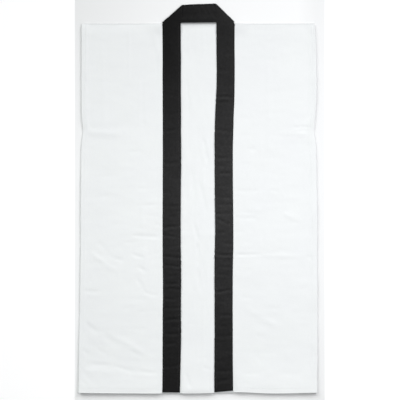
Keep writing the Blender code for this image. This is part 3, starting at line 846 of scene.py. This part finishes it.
def band():
    """One doubled ribbon: up the left front, over the turned corners, down the right."""
    sections = []          # (stretch, distance along it)
    ends = [0.0, 0.15, 0.35, 0.6, 1.0, 1.6, 2.5, 3.8, 5.5, 7.5]
    for side in ("left", "right"):
        run = [("end", v) for v in ends] + [("down", d) for d in spread(990.0, 2.0, 2.85)]
        run = [(side,) + item for item in run]
        sections.append(run)
    bend = 9
    left_run = sections[0] + [("left", "turn", k / bend) for k in range(1, bend + 1)]
    corner_l, corner_r = float(seam_of("left", 0.0)), float(seam_of("right", 0.0))
    neck = [("neck", "along", t) for t in np.linspace(0.0, 1.0, 78)[1:-1]]
    right_run = [("right", "turn", k / bend) for k in range(bend, 0, -1)] + sections[1][::-1]
    plan = left_run + neck + right_run

    section = [(b, 1) for b in BAND_STOPS]
    section += [(np.pi * k / NOSE_STEPS, 0) for k in range(1, NOSE_STEPS)]
    section += [(b, -1) for b in BAND_HIDDEN]
    kinds = np.array([k for _, k in section])
    values = np.array([v for v, _ in section])
    flat_b = np.array([v if k == 1 else (48.6 + v if k == 0 else 100.4 - v) for v, k in section])

    def profile(which, along, state, width, inner):
        """Distance in from the sewn edge and offset from the band's middle surface.
        `state` is 0 on a front stretch, 1 on the neck stretch: which layer shows."""
        b = np.where(kinds == 0, COLLAR - HALF_SHUT, values)
        half = half_thickness(b)
        if which == "neck":
            relief = band_relief("neck", along, b)
        else:
            relief = band_relief(which, along, b)
        calm = np.minimum(ease(b / 7.0) * 0.8 + 0.2, 1.0)
        dip = sum(stitch_dip(b - line, 0.17, 0.62) for line in TOPSTITCH)
        puff = (crown(b) + relief * calm * BAND_RELIEF) * (1.0 + dip) + dip
        puff = np.maximum(puff, 0.10 * (puff + 0.36) - 0.36)
        puff = puff + 2.1 * state * (1.0 - ease((b - 5.0) / 17.0))
        rim = 0.34 * nose(b, 0.9)
        up = half + puff * (1.0 - state) - rim
        low = half + puff * state - rim
        up_in, low_in = up + rim * 0.3 - BAND_CLOTH, low + rim * 0.3 - BAND_CLOTH
        turn = values
        mid_up, mid_low = half + puff * (1.0 - state), half + puff * state
        r_out = 0.5 * (mid_up + mid_low)
        lean = 0.5 * (mid_up - mid_low)
        if inner:
            r = np.maximum(r_out - BAND_CLOTH, 0.06)
            off = np.where(kinds == 1, up_in, np.where(kinds == -1, -low_in, lean + r * np.cos(turn)))
        else:
            r = r_out
            off = np.where(kinds == 1, up, np.where(kinds == -1, -low, lean + r * np.cos(turn)))
        bb = np.where(kinds == 0, COLLAR - HALF_SHUT + r * np.sin(turn), b)
        return b_scaled(bb, width), off, half

    def b_scaled(b, width):
        """The free edge strays; everything past the mouth stretches to follow it."""
        return b + (width - COLLAR) * ease((b - 10.0) / 34.0)

    def points(inner):
        rows, flat = [], []
        for item in plan:
            which, kind, t = item
            if which in ("left", "right"):
                sign = -1.0 if which == "left" else 1.0
                if kind in ("down", "end"):
                    b_plain = np.where(kinds == 0, COLLAR, values)
                    if kind == "end":
                        a, c = BAND_END[which]
                        down = a + (c - a) * b_plain / COLLAR - t
                        shut = nose(t, 1.9)
                    else:
                        a, c = BAND_END[which]
                        share = ease((t - 880.0) / 100.0)
                        down = t + (a + (c - a) * b_plain / COLLAR - 997.5) * share
                        shut = 0.0
                    along = float(np.mean(down))
                    width = float(seam_of(which, along) - read(FREE, along, 1 if which == "left" else 2))
                    b, off, half = profile(which, down, 0.0, width, inner)
                    off = off * (1.0 - shut) + shut * np.sign(off) * (0.04 if inner else 0.34)
                    out = seam_of(which, down) - b
                    x = sign * out
                    base = BAND_BASE + coat_lift(x, down) + OVER_CORNER * climb(down)
                    base = base + 0.25 * (1.0 + drift(down, 0.3 * b, 90.0, 350)) * ease((b - 12.0) / 20.0) * ease(down / 60.0)
                    rows.append(place(x, down, base + half + off))
                    flat.append(np.stack([flat_b, 0.0 * flat_b + down], axis=-1))
                    continue
                # the turned corner
                turn = 0.5 * np.pi * t
                width = float(seam_of(which, 0.0) - read(FREE, 0.0, 1 if which == "left" else 2))
                b, off, half = profile(which, 1.0, 0.5 * t, width, inner)
                corner = corner_l if which == "left" else corner_r
                x, y, z = corner_point(which, b, off, half, turn, corner)
                rows.append(place(sign * -x, -y, z))
                flat.append(np.stack([flat_b, 0.0 * flat_b - b - 2.0 * t], axis=-1))
                continue
            rows.append(None)
            flat.append(None)
        # fill the neck stretch: its sections leave each corner along the 45 degree line
        # and straighten towards the middle
        neck_at = [k for k, row in enumerate(rows) if row is None]
        count = len(neck_at)
        bend_rows = 9
        for n, k in enumerate(neck_at):
            left_turn = n < bend_rows
            right_turn = n >= count - bend_rows
            if left_turn or right_turn:
                which = "left" if left_turn else "right"
                sign = -1.0 if which == "left" else 1.0
                step = (n + 1) if left_turn else (count - n)
                share = step / bend_rows
                turn = 0.5 * np.pi * (1.0 + share)
                col = 1 if which == "left" else 2
                width = float(seam_of(which, 0.0) - read(FREE, 0.0, col)) + NECK_WIDER[which] * ease(share)
                corner = corner_l if which == "left" else corner_r
                b, off, half = profile(which, 1.0, 0.5 + 0.5 * share, width, inner)
                x, y, z = corner_point(which, b, off, half, turn, corner)
                rows[k] = place(sign * -x, -y, z)
                flat[k] = np.stack([flat_b, 0.0 * flat_b - b - 2.0 * (1.0 + share)], axis=-1)
            else:
                share = (n - bend_rows + 1) / (count - 2 * bend_rows + 1)
                width = (1 - share) * (float(seam_of("left", 0.0) - read(FREE, 0.0, 1)) + NECK_WIDER["left"]) \
                    + share * (float(seam_of("right", 0.0) - read(FREE, 0.0, 2)) + NECK_WIDER["right"])
                where = share * 190.0
                b, off, half = profile("neck", where, 1.0, width, inner)
                lx = corner_point("left", b, off, half, np.pi, corner_l)
                rx = corner_point("right", b, off, half, np.pi, corner_r)
                left_x, right_x = lx[0], -rx[0]
                x = left_x + (right_x - left_x) * share
                y = lx[1] + (rx[1] - lx[1]) * share + 0.35 * np.sin(np.pi * share)
                z = NECK_BASE + neck_lift(x) + half - off
                rows[k] = place(x, -y, z)
                flat[k] = np.stack([flat_b, 0.0 * flat_b - 60.0 - where], axis=-1)
        return np.array(rows), np.array(flat)

    outer, flat = points(False)
    inner, _ = points(True)
    return closed_wall("black_collar", outer, inner, flat * 0.001, [BLACK], flip=False)


def corner_point(which, b, off, half, turn, corner):
    """A point of the turned corner; turn runs from 0 on the front to pi on the neck."""
    radius = BEND_RADIUS + off
    pull = HALF_OPEN - 0.5 * np.pi * BEND_RADIUS + BEND_RADIUS
    beyond = -0.5 * np.pi * BEND_RADIUS + radius * np.sin(turn) - pull
    z = NECK_BASE + BEND_RADIUS + half + radius * np.cos(turn)
    (in0, up0), (in1, up1) = CORNER_SHIFT[which]
    share = b / COLLAR
    return (-corner + b - beyond / math.sqrt(2.0) + in0 + (in1 - in0) * share,
            NECK_RISE + b + beyond / math.sqrt(2.0) + up0 + (up1 - up0) * share, z)


# ------------------------------------------------------------------ stitches

def threads(name, rows, slot, thread=0.17, pitch=3.0, gap=0.7):
    """Short sunk threads along each row.  A row is a path of points sampled finely, mm."""
    ring = 6
    points, faces = [], []
    for path in rows:
        steps = np.linalg.norm(np.diff(path, axis=0), axis=1)
        run = np.concatenate([[0.0], np.cumsum(steps)])
        count = int((run[-1] - 1.0) / pitch)
        for k in range(count):
            a = 0.5 + k * pitch
            at = np.linspace(a, a + pitch - gap, 5)
            spine = np.stack([np.interp(at, run, path[:, c]) for c in range(3)], axis=-1)
            bow = np.array([-0.55, 0.25, 0.62, 0.25, -0.55]) * thread * 1.5
            spine[:, 2] += bow + 0.4 * thread
            width = thread * np.array([0.55, 0.95, 1.05, 0.95, 0.55])
            tangent = spine[-1] - spine[0]
            tangent /= np.linalg.norm(tangent)
            side = np.cross([0.0, 0.0, 1.0], tangent)
            side /= np.linalg.norm(side)
            up = np.cross(tangent, side)
            base = len(points)
            for j in range(5):
                for q in range(ring):
                    turn = 2 * np.pi * q / ring
                    points.append(spine[j] + width[j] * (np.cos(turn) * side + np.sin(turn) * up))
            for j in range(4):
                for q in range(ring):
                    p, r = base + j * ring + q, base + j * ring + (q + 1) % ring
                    faces.append((p, r, r + ring, p + ring))
            faces.append((base + 3, base + 2, base + 1, base))
            faces.append((base, base + 5, base + 4, base + 3))
            top = base + 4 * ring
            faces.append((top, top + 1, top + 2, top + 3))
            faces.append((top + 3, top + 4, top + 5, top))
    return mesh_object(name, np.array(points) * 0.001, faces, [slot])


def world(x, down, z):
    return np.stack([x + X0, SHOULDER - down, z], axis=-1)


def white_rows(side):
    sign = -1.0 if side == "left" else 1.0
    rows = []
    for u in (4.0, 9.4):
        down = np.arange(5.0, ARMHOLE_FOOT - 4.0, 1.0)
        x = sign * (edge_of(side, down) - u)
        rows.append(world(x, down, front_skins(side, x, down)[0]))
    out = np.arange(float(seam_of(side, 1000.0)) + 2.0, float(edge_of(side, 1000.0)) - 3.0, 1.0)
    x = sign * out
    down = hem_line(side, x) - 12.2
    rows.append(world(x, down, front_skins(side, x, down)[0]))
    return rows


def back_rows():
    x = np.arange(-43.0, 42.0, 1.0)
    down = hem_line("back", x) - 12.2
    rows = [world(x, down, back_skins(x, down)[0])]
    return rows


def band_height(side, down, b):
    """Upper surface of a front band."""
    half = half_thickness(b)
    relief = band_relief(side, down, b)
    calm = np.minimum(ease(b / 7.0) * 0.8 + 0.2, 1.0)
    dip = sum(stitch_dip(b - line, 0.17, 0.62) for line in TOPSTITCH)
    puff = (crown(b) + relief * calm * BAND_RELIEF) * (1.0 + dip) + dip
    return half + np.maximum(puff, 0.10 * (puff + 0.36) - 0.36)


def black_rows():
    rows = []
    for side, sign in (("left", -1.0), ("right", 1.0)):
        column = 1 if side == "left" else 2
        for b in TOPSTITCH:
            down = np.arange(6.0, 992.0, 1.0)
            width = seam_of(side, down) - read(FREE, down, column)
            across = b + (width - COLLAR) * ease((b - 10.0) / 34.0)
            x = sign * (seam_of(side, down) - across)
            base = BAND_BASE + coat_lift(x, down) + OVER_CORNER * climb(down)
            base = base + 0.25 * (1.0 + drift(down, 0.3 * b, 90.0, 350)) * ease((b - 12.0) / 20.0) * ease(down / 60.0)
            z = base + half_thickness(b) + band_height(side, down, np.full(down.shape, b))
            rows.append(world(x, down, z))
    return rows


# ------------------------------------------------------------------ materials

def node(tree, kind, at, **values):
    made = tree.nodes.new(kind)
    made.location = at
    for key, value in values.items():
        if key.startswith("_"):
            setattr(made, key[1:], value)
        else:
            made.inputs[key].default_value = value
    return made


# the fade argument paints a highlight into the colour
def cloth_material(name, colour, darker, pale, threads_per_m, weave, noise_bump, rough, sheen, tint, specular, grain,
                   grain_scale=300.0, fade=None, painted_fold_shade=0.0):
    """Plain-woven cotton: crossing threads, slubs, cloudy unevenness and a soft nap."""
    made = bpy.data.materials.new(name)
    made.use_nodes = True
    tree = made.node_tree
    link = tree.links.new
    shader = tree.nodes["Principled BSDF"]
    shader.inputs["Metallic"].default_value = 0.0
    shader.inputs["Specular IOR Level"].default_value = specular
    shader.inputs["Sheen Weight"].default_value = sheen
    shader.inputs["Sheen Roughness"].default_value = 0.45
    shader.inputs["Sheen Tint"].default_value = tint
    uv = node(tree, "ShaderNodeUVMap", (-1500, 0), _uv_map="cloth")
    spot = node(tree, "ShaderNodeTexCoord", (-1500, -400))
    # threads both ways
    warp = node(tree, "ShaderNodeTexWave", (-1200, 200), _wave_type="BANDS", _bands_direction="X",
                _wave_profile="SIN", Scale=threads_per_m / 20.0 * 2.0 * math.pi, Distortion=1.2, Detail=2.0)
    warp.inputs["Detail Scale"].default_value = 2.0
    weft = node(tree, "ShaderNodeTexWave", (-1200, -100), _wave_type="BANDS", _bands_direction="Y",
                _wave_profile="SIN", Scale=threads_per_m / 20.0 * 2.0 * math.pi, Distortion=1.2, Detail=2.0)
    weft.inputs["Detail Scale"].default_value = 2.0
    link(uv.outputs["UV"], warp.inputs["Vector"])
    link(uv.outputs["UV"], weft.inputs["Vector"])
    woven = node(tree, "ShaderNodeMath", (-950, 80), _operation="MAXIMUM")
    link(warp.outputs["Fac"], woven.inputs[0])
    link(weft.outputs["Fac"], woven.inputs[1])
    # slubs: thicker threads here and there, long one way
    stretch = node(tree, "ShaderNodeMapping", (-1200, -400))
    stretch.inputs["Scale"].default_value = (900.0, 30.0, 1.0)
    link(uv.outputs["UV"], stretch.inputs["Vector"])
    slub = node(tree, "ShaderNodeTexNoise", (-950, -400), Scale=1.0, Detail=3.0, Roughness=0.6)
    link(stretch.outputs["Vector"], slub.inputs["Vector"])
    stretch2 = node(tree, "ShaderNodeMapping", (-1200, -650))
    stretch2.inputs["Scale"].default_value = (30.0, 900.0, 1.0)
    link(uv.outputs["UV"], stretch2.inputs["Vector"])
    slub2 = node(tree, "ShaderNodeTexNoise", (-950, -650), Scale=1.0, Detail=3.0, Roughness=0.6)
    link(stretch2.outputs["Vector"], slub2.inputs["Vector"])
    both = node(tree, "ShaderNodeMath", (-750, -500), _operation="ADD")
    link(slub.outputs["Fac"], both.inputs[0])
    link(slub2.outputs["Fac"], both.inputs[1])
    # crumpled finish of washed cotton, a few millimetres across
    crumple = node(tree, "ShaderNodeTexNoise", (-950, -900), Scale=230.0, Detail=4.0, Roughness=0.62)
    link(spot.outputs["Object"], crumple.inputs["Vector"])
    cloud = node(tree, "ShaderNodeTexNoise", (-950, -1150), Scale=9.0, Detail=5.0, Roughness=0.6)
    link(spot.outputs["Object"], cloud.inputs["Vector"])
    # colour: threads over the darker gaps, with slow changes of shade
    weave_mix = node(tree, "ShaderNodeMix", (-500, 200), _data_type="RGBA")
    weave_mix.inputs["A"].default_value = (*darker, 1.0)
    weave_mix.inputs["B"].default_value = (*colour, 1.0)
    span = node(tree, "ShaderNodeMapRange", (-750, 80))
    span.inputs["From Min"].default_value = 0.25
    span.inputs["From Max"].default_value = 0.95
    span.inputs["To Min"].default_value = 0.35
    link(woven.outputs["Value"], span.inputs["Value"])
    link(span.outputs["Result"], weave_mix.inputs["Factor"])
    shade = node(tree, "ShaderNodeMix", (-250, 150), _data_type="RGBA")
    shade.inputs["B"].default_value = (*pale, 1.0)
    blend = node(tree, "ShaderNodeMapRange", (-500, -200))
    blend.inputs["From Min"].default_value = 0.30
    blend.inputs["From Max"].default_value = 0.72
    blend.inputs["To Max"].default_value = 0.85
    link(cloud.outputs["Fac"], blend.inputs["Value"])
    link(blend.outputs["Result"], shade.inputs["Factor"])
    link(weave_mix.outputs["Result"], shade.inputs["A"])
    # grain: lint and uneven yarn, a few millimetres across
    lint = node(tree, "ShaderNodeTexNoise", (-500, 500), Scale=grain_scale, Detail=4.0, Roughness=0.72)
    link(spot.outputs["Object"], lint.inputs["Vector"])
    level = node(tree, "ShaderNodeMapRange", (-250, 500))
    level.inputs["From Min"].default_value = 0.25
    level.inputs["From Max"].default_value = 0.75
    level.inputs["To Min"].default_value = 1.0 - grain
    level.inputs["To Max"].default_value = 1.0 + grain
    link(lint.outputs["Fac"], level.inputs["Value"])
    factor = level.outputs["Result"]
    if fade:
        # painted highlight: the black is made lighter over the middle of the length and more towards the right, where
        # the light falls on it
        (across, along), (wide, high), strength, slope = fade
        split = node(tree, "ShaderNodeSeparateXYZ", (-1200, 800))
        link(spot.outputs["Object"], split.inputs["Vector"])
        parts = []
        for axis, centre, reach in (("X", across, wide), ("Y", along, high)):
            off = node(tree, "ShaderNodeMath", (-1000, 800), _operation="SUBTRACT")
            off.inputs[1].default_value = centre
            link(split.outputs[axis], off.inputs[0])
            scaled = node(tree, "ShaderNodeMath", (-800, 800), _operation="DIVIDE")
            scaled.inputs[1].default_value = reach
            link(off.outputs["Value"], scaled.inputs[0])
            square = node(tree, "ShaderNodeMath", (-600, 800), _operation="MULTIPLY")
            link(scaled.outputs["Value"], square.inputs[0])
            link(scaled.outputs["Value"], square.inputs[1])
            parts.append(square)
        total = node(tree, "ShaderNodeMath", (-400, 800), _operation="ADD")
        link(parts[0].outputs["Value"], total.inputs[0])
        link(parts[1].outputs["Value"], total.inputs[1])
        less = node(tree, "ShaderNodeMath", (-250, 800), _operation="MULTIPLY")
        less.inputs[1].default_value = -1.0
        link(total.outputs["Value"], less.inputs[0])
        highlight_bell = node(tree, "ShaderNodeMath", (-100, 800), _operation="EXPONENT")
        link(less.outputs["Value"], highlight_bell.inputs[0])
        gain = node(tree, "ShaderNodeMath", (50, 800), _operation="MULTIPLY_ADD")
        gain.inputs[1].default_value = strength
        gain.inputs[2].default_value = 1.0
        link(highlight_bell.outputs["Value"], gain.inputs[0])
        lean = node(tree, "ShaderNodeMath", (-150, 1050), _operation="MULTIPLY_ADD")
        lean.inputs[1].default_value = slope[1]
        lean.inputs[2].default_value = slope[0]
        link(split.outputs["Y"], lean.inputs[0])
        ramp = node(tree, "ShaderNodeMath", (50, 950), _operation="MULTIPLY_ADD")
        link(lean.outputs["Value"], ramp.inputs[1])
        link(split.outputs["X"], ramp.inputs[0])
        link(gain.outputs["Value"], ramp.inputs[2])
        product = node(tree, "ShaderNodeMath", (200, 700), _operation="MULTIPLY")
        link(ramp.outputs["Value"], product.inputs[0])
        link(factor, product.inputs[1])
        factor = product.outputs["Value"]
    if painted_fold_shade:
        # painted shade: the colour is darkened in a narrow band along the shoulder fold's edge, so that its rounded
        # face shows no bright line
        split = node(tree, "ShaderNodeSeparateXYZ", (-1200, 1000))
        link(uv.outputs["UV"], split.inputs["Vector"])
        fold_shade = node(tree, "ShaderNodeMapRange", (-900, 1000), _interpolation_type="SMOOTHSTEP")
        fold_shade.inputs["From Min"].default_value = -0.0002
        fold_shade.inputs["From Max"].default_value = 0.0026
        fold_shade.inputs["To Min"].default_value = 1.0 - painted_fold_shade
        fold_shade.inputs["To Max"].default_value = 1.0
        link(split.outputs["Y"], fold_shade.inputs["Value"])
        product = node(tree, "ShaderNodeMath", (200, 900), _operation="MULTIPLY")
        link(fold_shade.outputs["Result"], product.inputs[0])
        link(factor, product.inputs[1])
        factor = product.outputs["Value"]
    tinted = node(tree, "ShaderNodeVectorMath", (0, 250), _operation="SCALE")
    link(shade.outputs["Result"], tinted.inputs[0])
    link(factor, tinted.inputs["Scale"])
    link(tinted.outputs["Vector"], shader.inputs["Base Color"])
    # roughness follows the weave
    rough_map = node(tree, "ShaderNodeMapRange", (-500, -450))
    rough_map.inputs["To Min"].default_value = min(1.0, rough + 0.08)
    rough_map.inputs["To Max"].default_value = rough - 0.06
    link(woven.outputs["Value"], rough_map.inputs["Value"])
    link(rough_map.outputs["Result"], shader.inputs["Roughness"])
    # relief
    bump1 = node(tree, "ShaderNodeBump", (-250, -300), Strength=weave, Distance=0.00012)
    link(woven.outputs["Value"], bump1.inputs["Height"])
    bump2 = node(tree, "ShaderNodeBump", (-250, -550), Strength=weave * 0.6, Distance=0.00012)
    link(both.outputs["Value"], bump2.inputs["Height"])
    link(bump1.outputs["Normal"], bump2.inputs["Normal"])
    bump3 = node(tree, "ShaderNodeBump", (-250, -800), Strength=noise_bump, Distance=0.0007)
    link(crumple.outputs["Fac"], bump3.inputs["Height"])
    link(bump2.outputs["Normal"], bump3.inputs["Normal"])
    link(bump3.outputs["Normal"], shader.inputs["Normal"])
    return made


def thread_material(name, colour):
    made = bpy.data.materials.new(name)
    made.use_nodes = True
    tree = made.node_tree
    shader = tree.nodes["Principled BSDF"]
    shader.inputs["Specular IOR Level"].default_value = 0.4
    shader.inputs["Sheen Weight"].default_value = 0.25
    spot = node(tree, "ShaderNodeTexCoord", (-900, 0))
    twist = node(tree, "ShaderNodeTexNoise", (-700, 0), Scale=2600.0, Detail=2.0)
    tree.links.new(spot.outputs["Object"], twist.inputs["Vector"])
    mix = node(tree, "ShaderNodeMix", (-450, 0), _data_type="RGBA")
    mix.inputs["A"].default_value = (*[0.82 * c for c in colour], 1.0)
    mix.inputs["B"].default_value = (*colour, 1.0)
    tree.links.new(twist.outputs["Fac"], mix.inputs["Factor"])
    tree.links.new(mix.outputs["Result"], shader.inputs["Base Color"])
    level = node(tree, "ShaderNodeMapRange", (-450, -250))
    level.inputs["To Min"].default_value = 0.5
    level.inputs["To Max"].default_value = 0.7
    tree.links.new(twist.outputs["Fac"], level.inputs["Value"])
    tree.links.new(level.outputs["Result"], shader.inputs["Roughness"])
    return made


# the white gets painted shade along the shoulder fold's edge
WHITE = cloth_material("white_cotton", (0.845, 0.866, 0.862), (0.805, 0.828, 0.824), (0.825, 0.844, 0.848),
                       1800.0, 0.30, 0.12, 0.90, 0.05, (1.0, 1.0, 1.0, 1.0), 0.15, 0.012,
                       painted_fold_shade=0.30)
# the black's fade is a painted highlight: lighter over the middle of the coat's length and towards the right
BLACK = cloth_material("black_cotton", (0.0098, 0.0098, 0.0099), (0.0062, 0.0062, 0.0063), (0.0122, 0.0121, 0.0122),
                       1500.0, 0.45, 0.22, 0.62, 0.01, (0.9, 0.92, 1.0, 1.0), 0.06, 0.26,
                       grain_scale=160.0, fade=((0.10, 0.0), (0.60, 0.335), 1.52, (4.35, 4.9)))
WHITE_THREAD = thread_material("white_thread", (0.84, 0.86, 0.86))
BLACK_THREAD = thread_material("black_thread", (0.028, 0.027, 0.028))


# ------------------------------------------------------------------ the coat

back_piece = back()
left_piece = front("left")
right_piece = front("right")
collar_piece = band()
stitches = [
    (threads("stitches_front_left", white_rows("left"), WHITE_THREAD), "body_cloth"),
    (threads("stitches_front_right", white_rows("right"), WHITE_THREAD), "body_cloth"),
    (threads("stitches_back", back_rows(), WHITE_THREAD), "body_cloth"),
    (threads("stitches_collar", black_rows(), BLACK_THREAD), "collar_cloth"),
]

for piece, nodes, slot in ((back_piece, ["back_panel"], "body_cloth"),
                           (left_piece, ["front_left"], "body_cloth"),
                           (right_piece, ["front_right"], "body_cloth"),
                           (collar_piece, ["collar_front_left", "collar_back_neck", "collar_front_right"], "collar_cloth")):
    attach(piece, "root")
    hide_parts(*nodes)
for piece, slot in stitches:
    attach(piece, "root")


# ------------------------------------------------------------------ floor, light, camera

def floor():
    mesh = bpy.data.meshes.new("floor")
    mesh.from_pydata([(-4, -4, 0), (4, -4, 0), (4, 4, 0), (-4, 4, 0)], [], [(0, 1, 2, 3)])
    made = bpy.data.objects.new("floor", mesh)
    bpy.context.scene.collection.objects.link(made)
    paper = bpy.data.materials.new("floor_paper")
    paper.use_nodes = True
    tree = paper.node_tree
    link = tree.links.new
    shader = tree.nodes["Principled BSDF"]
    shader.inputs["Roughness"].default_value = 0.95
    shader.inputs["Specular IOR Level"].default_value = 0.1
    spot = node(tree, "ShaderNodeTexCoord", (-1400, 0))
    split = node(tree, "ShaderNodeSeparateXYZ", (-1200, 0))
    link(spot.outputs["Object"], split.inputs["Vector"])

    def graded(axis, low, high, at_low, at_high, place_at):
        made = node(tree, "ShaderNodeMapRange", place_at)
        for key, value in (("From Min", low), ("From Max", high), ("To Min", at_low), ("To Max", at_high)):
            made.inputs[key].default_value = value
        link(split.outputs[axis], made.inputs["Value"])
        return made.outputs["Result"]

    # painted shade: the sheet under the coat is darker towards its upper left corner and lighter towards the right,
    # standing in for the fall of the light
    corner = graded("Y", 0.10, 0.48, 0.905, 0.840, (-1000, 200))
    across = graded("X", -0.34, 0.02, 0.0, 1.0, (-1000, -50))
    tone = node(tree, "ShaderNodeMix", (-700, 100), _data_type="FLOAT")
    tone.inputs["B"].default_value = 0.935
    link(across, tone.inputs["Factor"])
    link(corner, tone.inputs["A"])
    colour = node(tree, "ShaderNodeVectorMath", (-450, 100), _operation="SCALE")
    colour.inputs[0].default_value = (0.990, 1.0, 0.998)
    level = node(tree, "ShaderNodeMath", (-550, -100), _operation="MULTIPLY")
    link(tone.outputs["Result"], level.inputs[0])
    # painted shade: beyond the coat's right side the sheet is darkened where the lamp on the right falls strongest
    link(graded("X", 0.27, 0.32, 1.0, 0.935, (-1000, 450)), level.inputs[1])
    link(level.outputs["Value"], colour.inputs["Scale"])
    # and ends a little beyond the coat's sides, on a brighter surround that glows: painted light
    sides = [graded("X", -0.3345, -0.3315, 1.0, 0.0, (-1000, -300)),
             graded("X", 0.3420, 0.3480, 0.0, 1.0, (-1000, -550)),
             graded("Y", -0.6350, -0.6250, 1.0, 0.0, (-1000, -800)),
             graded("Y", 0.5980, 0.6020, 0.0, 1.0, (-1000, -1050))]
    beyond = sides[0]
    for n, side in enumerate(sides[1:]):
        most = node(tree, "ShaderNodeMath", (-800 + 120 * n, -400 - 150 * n), _operation="MAXIMUM")
        link(beyond, most.inputs[0])
        link(side, most.inputs[1])
        beyond = most.outputs["Value"]
    painted_glow = node(tree, "ShaderNodeMath", (-300, -400), _operation="MULTIPLY")
    painted_glow.inputs[1].default_value = 0.10
    link(beyond, painted_glow.inputs[0])
    surround = node(tree, "ShaderNodeMix", (-200, 100), _data_type="RGBA")
    surround.inputs["B"].default_value = (0.975, 0.975, 0.975, 1.0)
    link(beyond, surround.inputs["Factor"])
    link(colour.outputs["Vector"], surround.inputs["A"])
    link(surround.outputs["Result"], shader.inputs["Base Color"])
    # painted light: the surround glows though it is no lamp
    shader.inputs["Emission Color"].default_value = (1.0, 1.0, 1.0, 1.0)
    link(painted_glow.outputs["Value"], shader.inputs["Emission Strength"])
    mesh.materials.append(paper)


floor()

scene = bpy.context.scene
scene.view_settings.view_transform = "Standard"
scene.view_settings.look = "None"

sky = bpy.data.worlds.new("studio")
sky.use_nodes = True
sky.node_tree.nodes["Background"].inputs["Color"].default_value = (0.985, 1.0, 0.996, 1.0)
sky.node_tree.nodes["Background"].inputs["Strength"].default_value = 0.331
scene.world = sky


def lamp(name, kind, energy, location, target, size=1.0, colour=(1.0, 1.0, 1.0)):
    light = bpy.data.lights.new(name, kind)
    light.energy = energy
    light.color = colour
    if kind == "SUN":
        light.angle = math.radians(size)
    else:
        light.shape = "SQUARE"
        light.size = size
    made = bpy.data.objects.new(name, light)
    scene.collection.objects.link(made)
    made.location = location
    made.visible_camera = False
    aim = np.array(target, float) - np.array(location, float)
    flat = math.hypot(aim[0], aim[1])
    made.rotation_euler = (math.atan2(flat, -aim[2]), 0.0, math.atan2(aim[0], -aim[1]) + math.pi if flat > 1e-6 else 0.0)
    return made


def sun(name, strength, elevation, azimuth, angle, colour=(1.0, 1.0, 1.0)):
    """Azimuth is measured from +Y towards +X."""
    e, a = math.radians(elevation), math.radians(azimuth)
    start = (3 * math.cos(e) * math.sin(a), 3 * math.cos(e) * math.cos(a), 3 * math.sin(e))
    return lamp(name, "SUN", strength, start, (0, 0, 0), angle, colour)


sun("key_right", 1.63, 23.8, 34.0, 28.0, (1.0, 0.995, 1.0))
sun("key_left", 1.905, 23.8, -34.0, 28.0, (0.985, 1.0, 0.995))
lamp("right_fill", "AREA", 5.3, (0.95, 0.22, 1.15), (0.18, 0.16, 0.0), 0.8, (1.0, 0.97, 1.04))
lamp("overhead", "AREA", 1.25, (-0.03, -0.02, 0.9), (-0.03, -0.02, 0.0), 0.5, (1.0, 1.0, 1.0))

camera = bpy.data.cameras.new("camera")
camera.lens = 85.0
camera.sensor_width = 36.0
camera.clip_end = 50.0
eye = bpy.data.objects.new("camera", camera)
scene.collection.objects.link(eye)
eye.location = (0.001 * (X0 + 5.41), 0.001 * (SHOULDER - 477.7), 2.556 + 0.002)
eye.rotation_euler = (0.0, 0.0, 0.0)
scene.camera = eye

bpy.context.view_layer.update()
